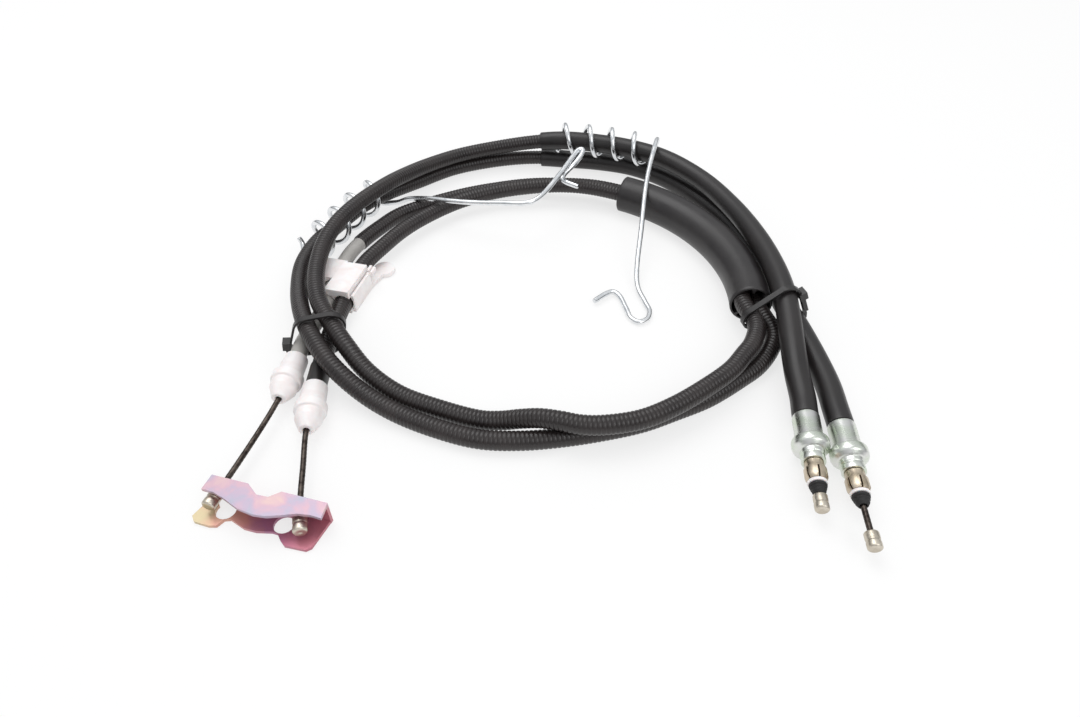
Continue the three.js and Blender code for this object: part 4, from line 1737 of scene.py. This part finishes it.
@dataclass
class Studio:
    """The camera, the pale floor and the soft light."""

    eye: Point = (0.0007, -0.3567, 0.292)
    tilt: float = 46.4
    lens: float = 24.233
    sensor: float = 36.0
    floor_size: float = 12.0
    floor_colour: str = "#f6f5f4"
    floor_glow: float = 0.72  # share of plain white that the camera sees in the floor
    sky_low: str = "#8d8e90"
    sky_high: str = "#f4f6f8"
    sky_strength: float = 0.85
    # Each soft lamp's name, place, side length and watts
    lamps: tuple = (
        ("overhead_softbox", (-0.35, 0.55, 1.5), 1.2, 10.0),
        ("front_softbox", (0.7, -1.0, 1.1), 0.9, 5.0),
    )

    def camera(self) -> None:
        """Stands the camera at the photograph's viewing angle."""
        data = bpy.data.cameras.new("camera")
        data.lens = self.lens
        data.sensor_width = self.sensor
        data.sensor_fit = "HORIZONTAL"
        camera = bpy.data.objects.new("camera", data)
        camera.location = self.eye
        camera.rotation_euler = (math.radians(self.tilt), 0.0, 0.0)
        bpy.context.scene.collection.objects.link(camera)
        bpy.context.scene.camera = camera

    def floor(self) -> None:
        """Lays the pale floor, whiter to rays from the camera, from gloss and through glass."""
        mesh = bpy.data.meshes.new("floor")
        half = self.floor_size / 2
        mesh.from_pydata(
            [(-half, -half, 0), (half, -half, 0), (half, half, 0), (-half, half, 0)],
            [],
            [(0, 1, 2, 3)],
        )
        floor = bpy.data.objects.new("floor", mesh)
        bpy.context.scene.collection.objects.link(floor)
        material = bpy.data.materials.new("matt_white_paper")
        material.use_nodes = True
        tree = material.node_tree
        shader = tree.nodes["Principled BSDF"]
        matt = {
            "Base Color": linear(self.floor_colour),
            "Roughness": 0.9,
            "Specular IOR Level": 0.1,
        }
        set_inputs(tree, shader, matt)
        rays = add_node(tree, "ShaderNodeLightPath")
        seen = add_node(
            tree,
            "ShaderNodeMath",
            {0: rays.outputs["Is Camera Ray"], 1: rays.outputs["Is Glossy Ray"]},
            operation="ADD",
        )
        also = add_node(
            tree,
            "ShaderNodeMath",
            {0: seen.outputs[0], 1: rays.outputs["Is Transmission Ray"]},
            operation="ADD",
        )
        share = add_node(
            tree,
            "ShaderNodeMath",
            {0: also.outputs[0], 1: self.floor_glow},
            operation="MULTIPLY",
        )
        glow = add_node(tree, "ShaderNodeEmission", {"Color": linear("#ffffff"), "Strength": 1.0})
        paper = add_node(
            tree,
            "ShaderNodeMixShader",
            {0: share.outputs[0], 1: shader.outputs[0], 2: glow.outputs[0]},
        )
        tree.links.new(paper.outputs[0], tree.nodes["Material Output"].inputs["Surface"])
        mesh.materials.append(material)

    def lamp(self, name: str, place: Point, size: float, power: float) -> None:
        """Hangs one square soft lamp that faces the origin.

        Args:
            name: The lamp's name.
            place: Where it hangs.
            size: Its side length.
            power: Its power in watts.
        """
        data = bpy.data.lights.new(name, "AREA")
        data.shape = "SQUARE"
        data.size = size
        data.energy = power
        lamp = bpy.data.objects.new(name, data)
        lamp.location = place
        lamp.rotation_euler = (-Vector(place)).to_track_quat("-Z", "Y").to_euler()
        bpy.context.scene.collection.objects.link(lamp)

    def light(self) -> None:
        """Sets the sky, with plain white where the camera sees it, and hangs the lamps."""
        world = bpy.data.worlds.new("studio")
        world.use_nodes = True
        tree = world.node_tree
        way = add_node(tree, "ShaderNodeTexCoord").outputs["Generated"]
        split = add_node(tree, "ShaderNodeSeparateXYZ", {0: way})
        sky = add_node(
            tree,
            "ShaderNodeValToRGB",
            {0: split.outputs["Z"]},
            stops=((0.05, self.sky_low), (0.55, self.sky_high)),
        )
        lit = tree.nodes["Background"]
        set_inputs(tree, lit, {"Color": sky.outputs["Color"], "Strength": self.sky_strength})
        backdrop = add_node(
            tree, "ShaderNodeBackground", {"Color": linear("#ffffff"), "Strength": 1.0}
        )
        seen = add_node(
            tree,
            "ShaderNodeMixShader",
            {
                0: add_node(tree, "ShaderNodeLightPath").outputs["Is Camera Ray"],
                1: lit.outputs[0],
                2: backdrop.outputs[0],
            },
        )
        tree.links.new(seen.outputs[0], tree.nodes["World Output"].inputs["Surface"])
        bpy.context.scene.world = world
        bpy.context.scene.view_settings.view_transform = "Standard"
        for name, place, size, power in self.lamps:
            self.lamp(name, place, size, power)


def main() -> None:
    """Builds the stage, the cables, their fittings and what holds them."""
    studio = Studio()
    studio.camera()
    shop = Shop()
    cable_a = Cable(
        letter="a",
        route=ROUTE_A,
        front_barrel=(-0.1373, -0.083, 0.0088),
        front_sleeve_end=(-0.123, 0.034, 0.0063),
        rear_sleeve_start=(0.001, 0.152, 0.007),
        rear_barrel=(0.1537, -0.134, 0.0095),
        front_radius=4.7 * MM,
        front_finish=GREY_POLYETHYLENE,
        conduit_length=1.52,
        drawn_out=14.0,
    )
    cable_b = Cable(
        letter="b",
        route=ROUTE_B,
        front_barrel=(-0.1218, -0.105, 0.0085),
        front_sleeve_end=(-0.1228, -0.088, 0.0075),
        rear_sleeve_start=(0.001, 0.1495, 0.021),
        rear_barrel=(0.1387, -0.128, 0.0095),
        front_radius=5.8 * MM,
        front_finish=EPDM_SLEEVE,
        conduit_length=1.46,
        drawn_out=0.0,
    )
    for cable, body in ((cable_a, Body.WIRE_END_A), (cable_b, Body.WIRE_END_B)):
        conduit = cable.conduit(shop)
        on_it = cable.sleeves(shop)
        on_it += [cable.inner_wire(shop)]
        on_it += FrontEnd(cable).make(shop)
        on_it += RearEnd(cable, body).make(shop)
        cable.declare(conduit, on_it)
        log.info("cable %s: conduit path %.4f m", cable.letter, length_of(cable.path))
    FormingGuide().make(shop)
    HookSpring(
        name="hook_spring_on_cable_b",
        node="spring_hook_top",
        axis=cable_b.line,
        axis_start=cable_b.line.near((0.012, 0.147, 0.0246)),
        lift=1.3 * MM,
        turns=4.5,
        pitch=17.5 * MM,
        start_angle=180,
        sense=-1,
        before=(),
        after=TOP_SPRING_ARM,
    ).make(shop)
    HookSpring(
        name="hook_spring_on_cable_a",
        node="spring_hook_left",
        axis=SmoothLine(shifted(LEFT_COIL_LINE)),
        axis_start=0.0,
        lift=0.0,
        turns=4.15,
        pitch=19 * MM,
        start_angle=127,
        sense=1,
        before=LEFT_SPRING_TAIL,
        after=LEFT_SPRING_ARM,
    ).make(shop)
    shop.refinish("pull_bracket", YELLOW_ZINC, edge_mm=0.45)
    shop.refinish("routing_clip", UNDYED_NYLON, edge_mm=0.4)
    for side in ("left", "right"):
        shop.refinish(f"cable_tie_{side}", BLACK_NYLON, edge_mm=0.2)
    studio.floor()
    studio.light()


def length_of(path: np.ndarray) -> float:
    """Adds up the lengths between points."""
    return float(np.linalg.norm(np.diff(path, axis=0), axis=1).sum())


if __name__ == "__main__":
    main()
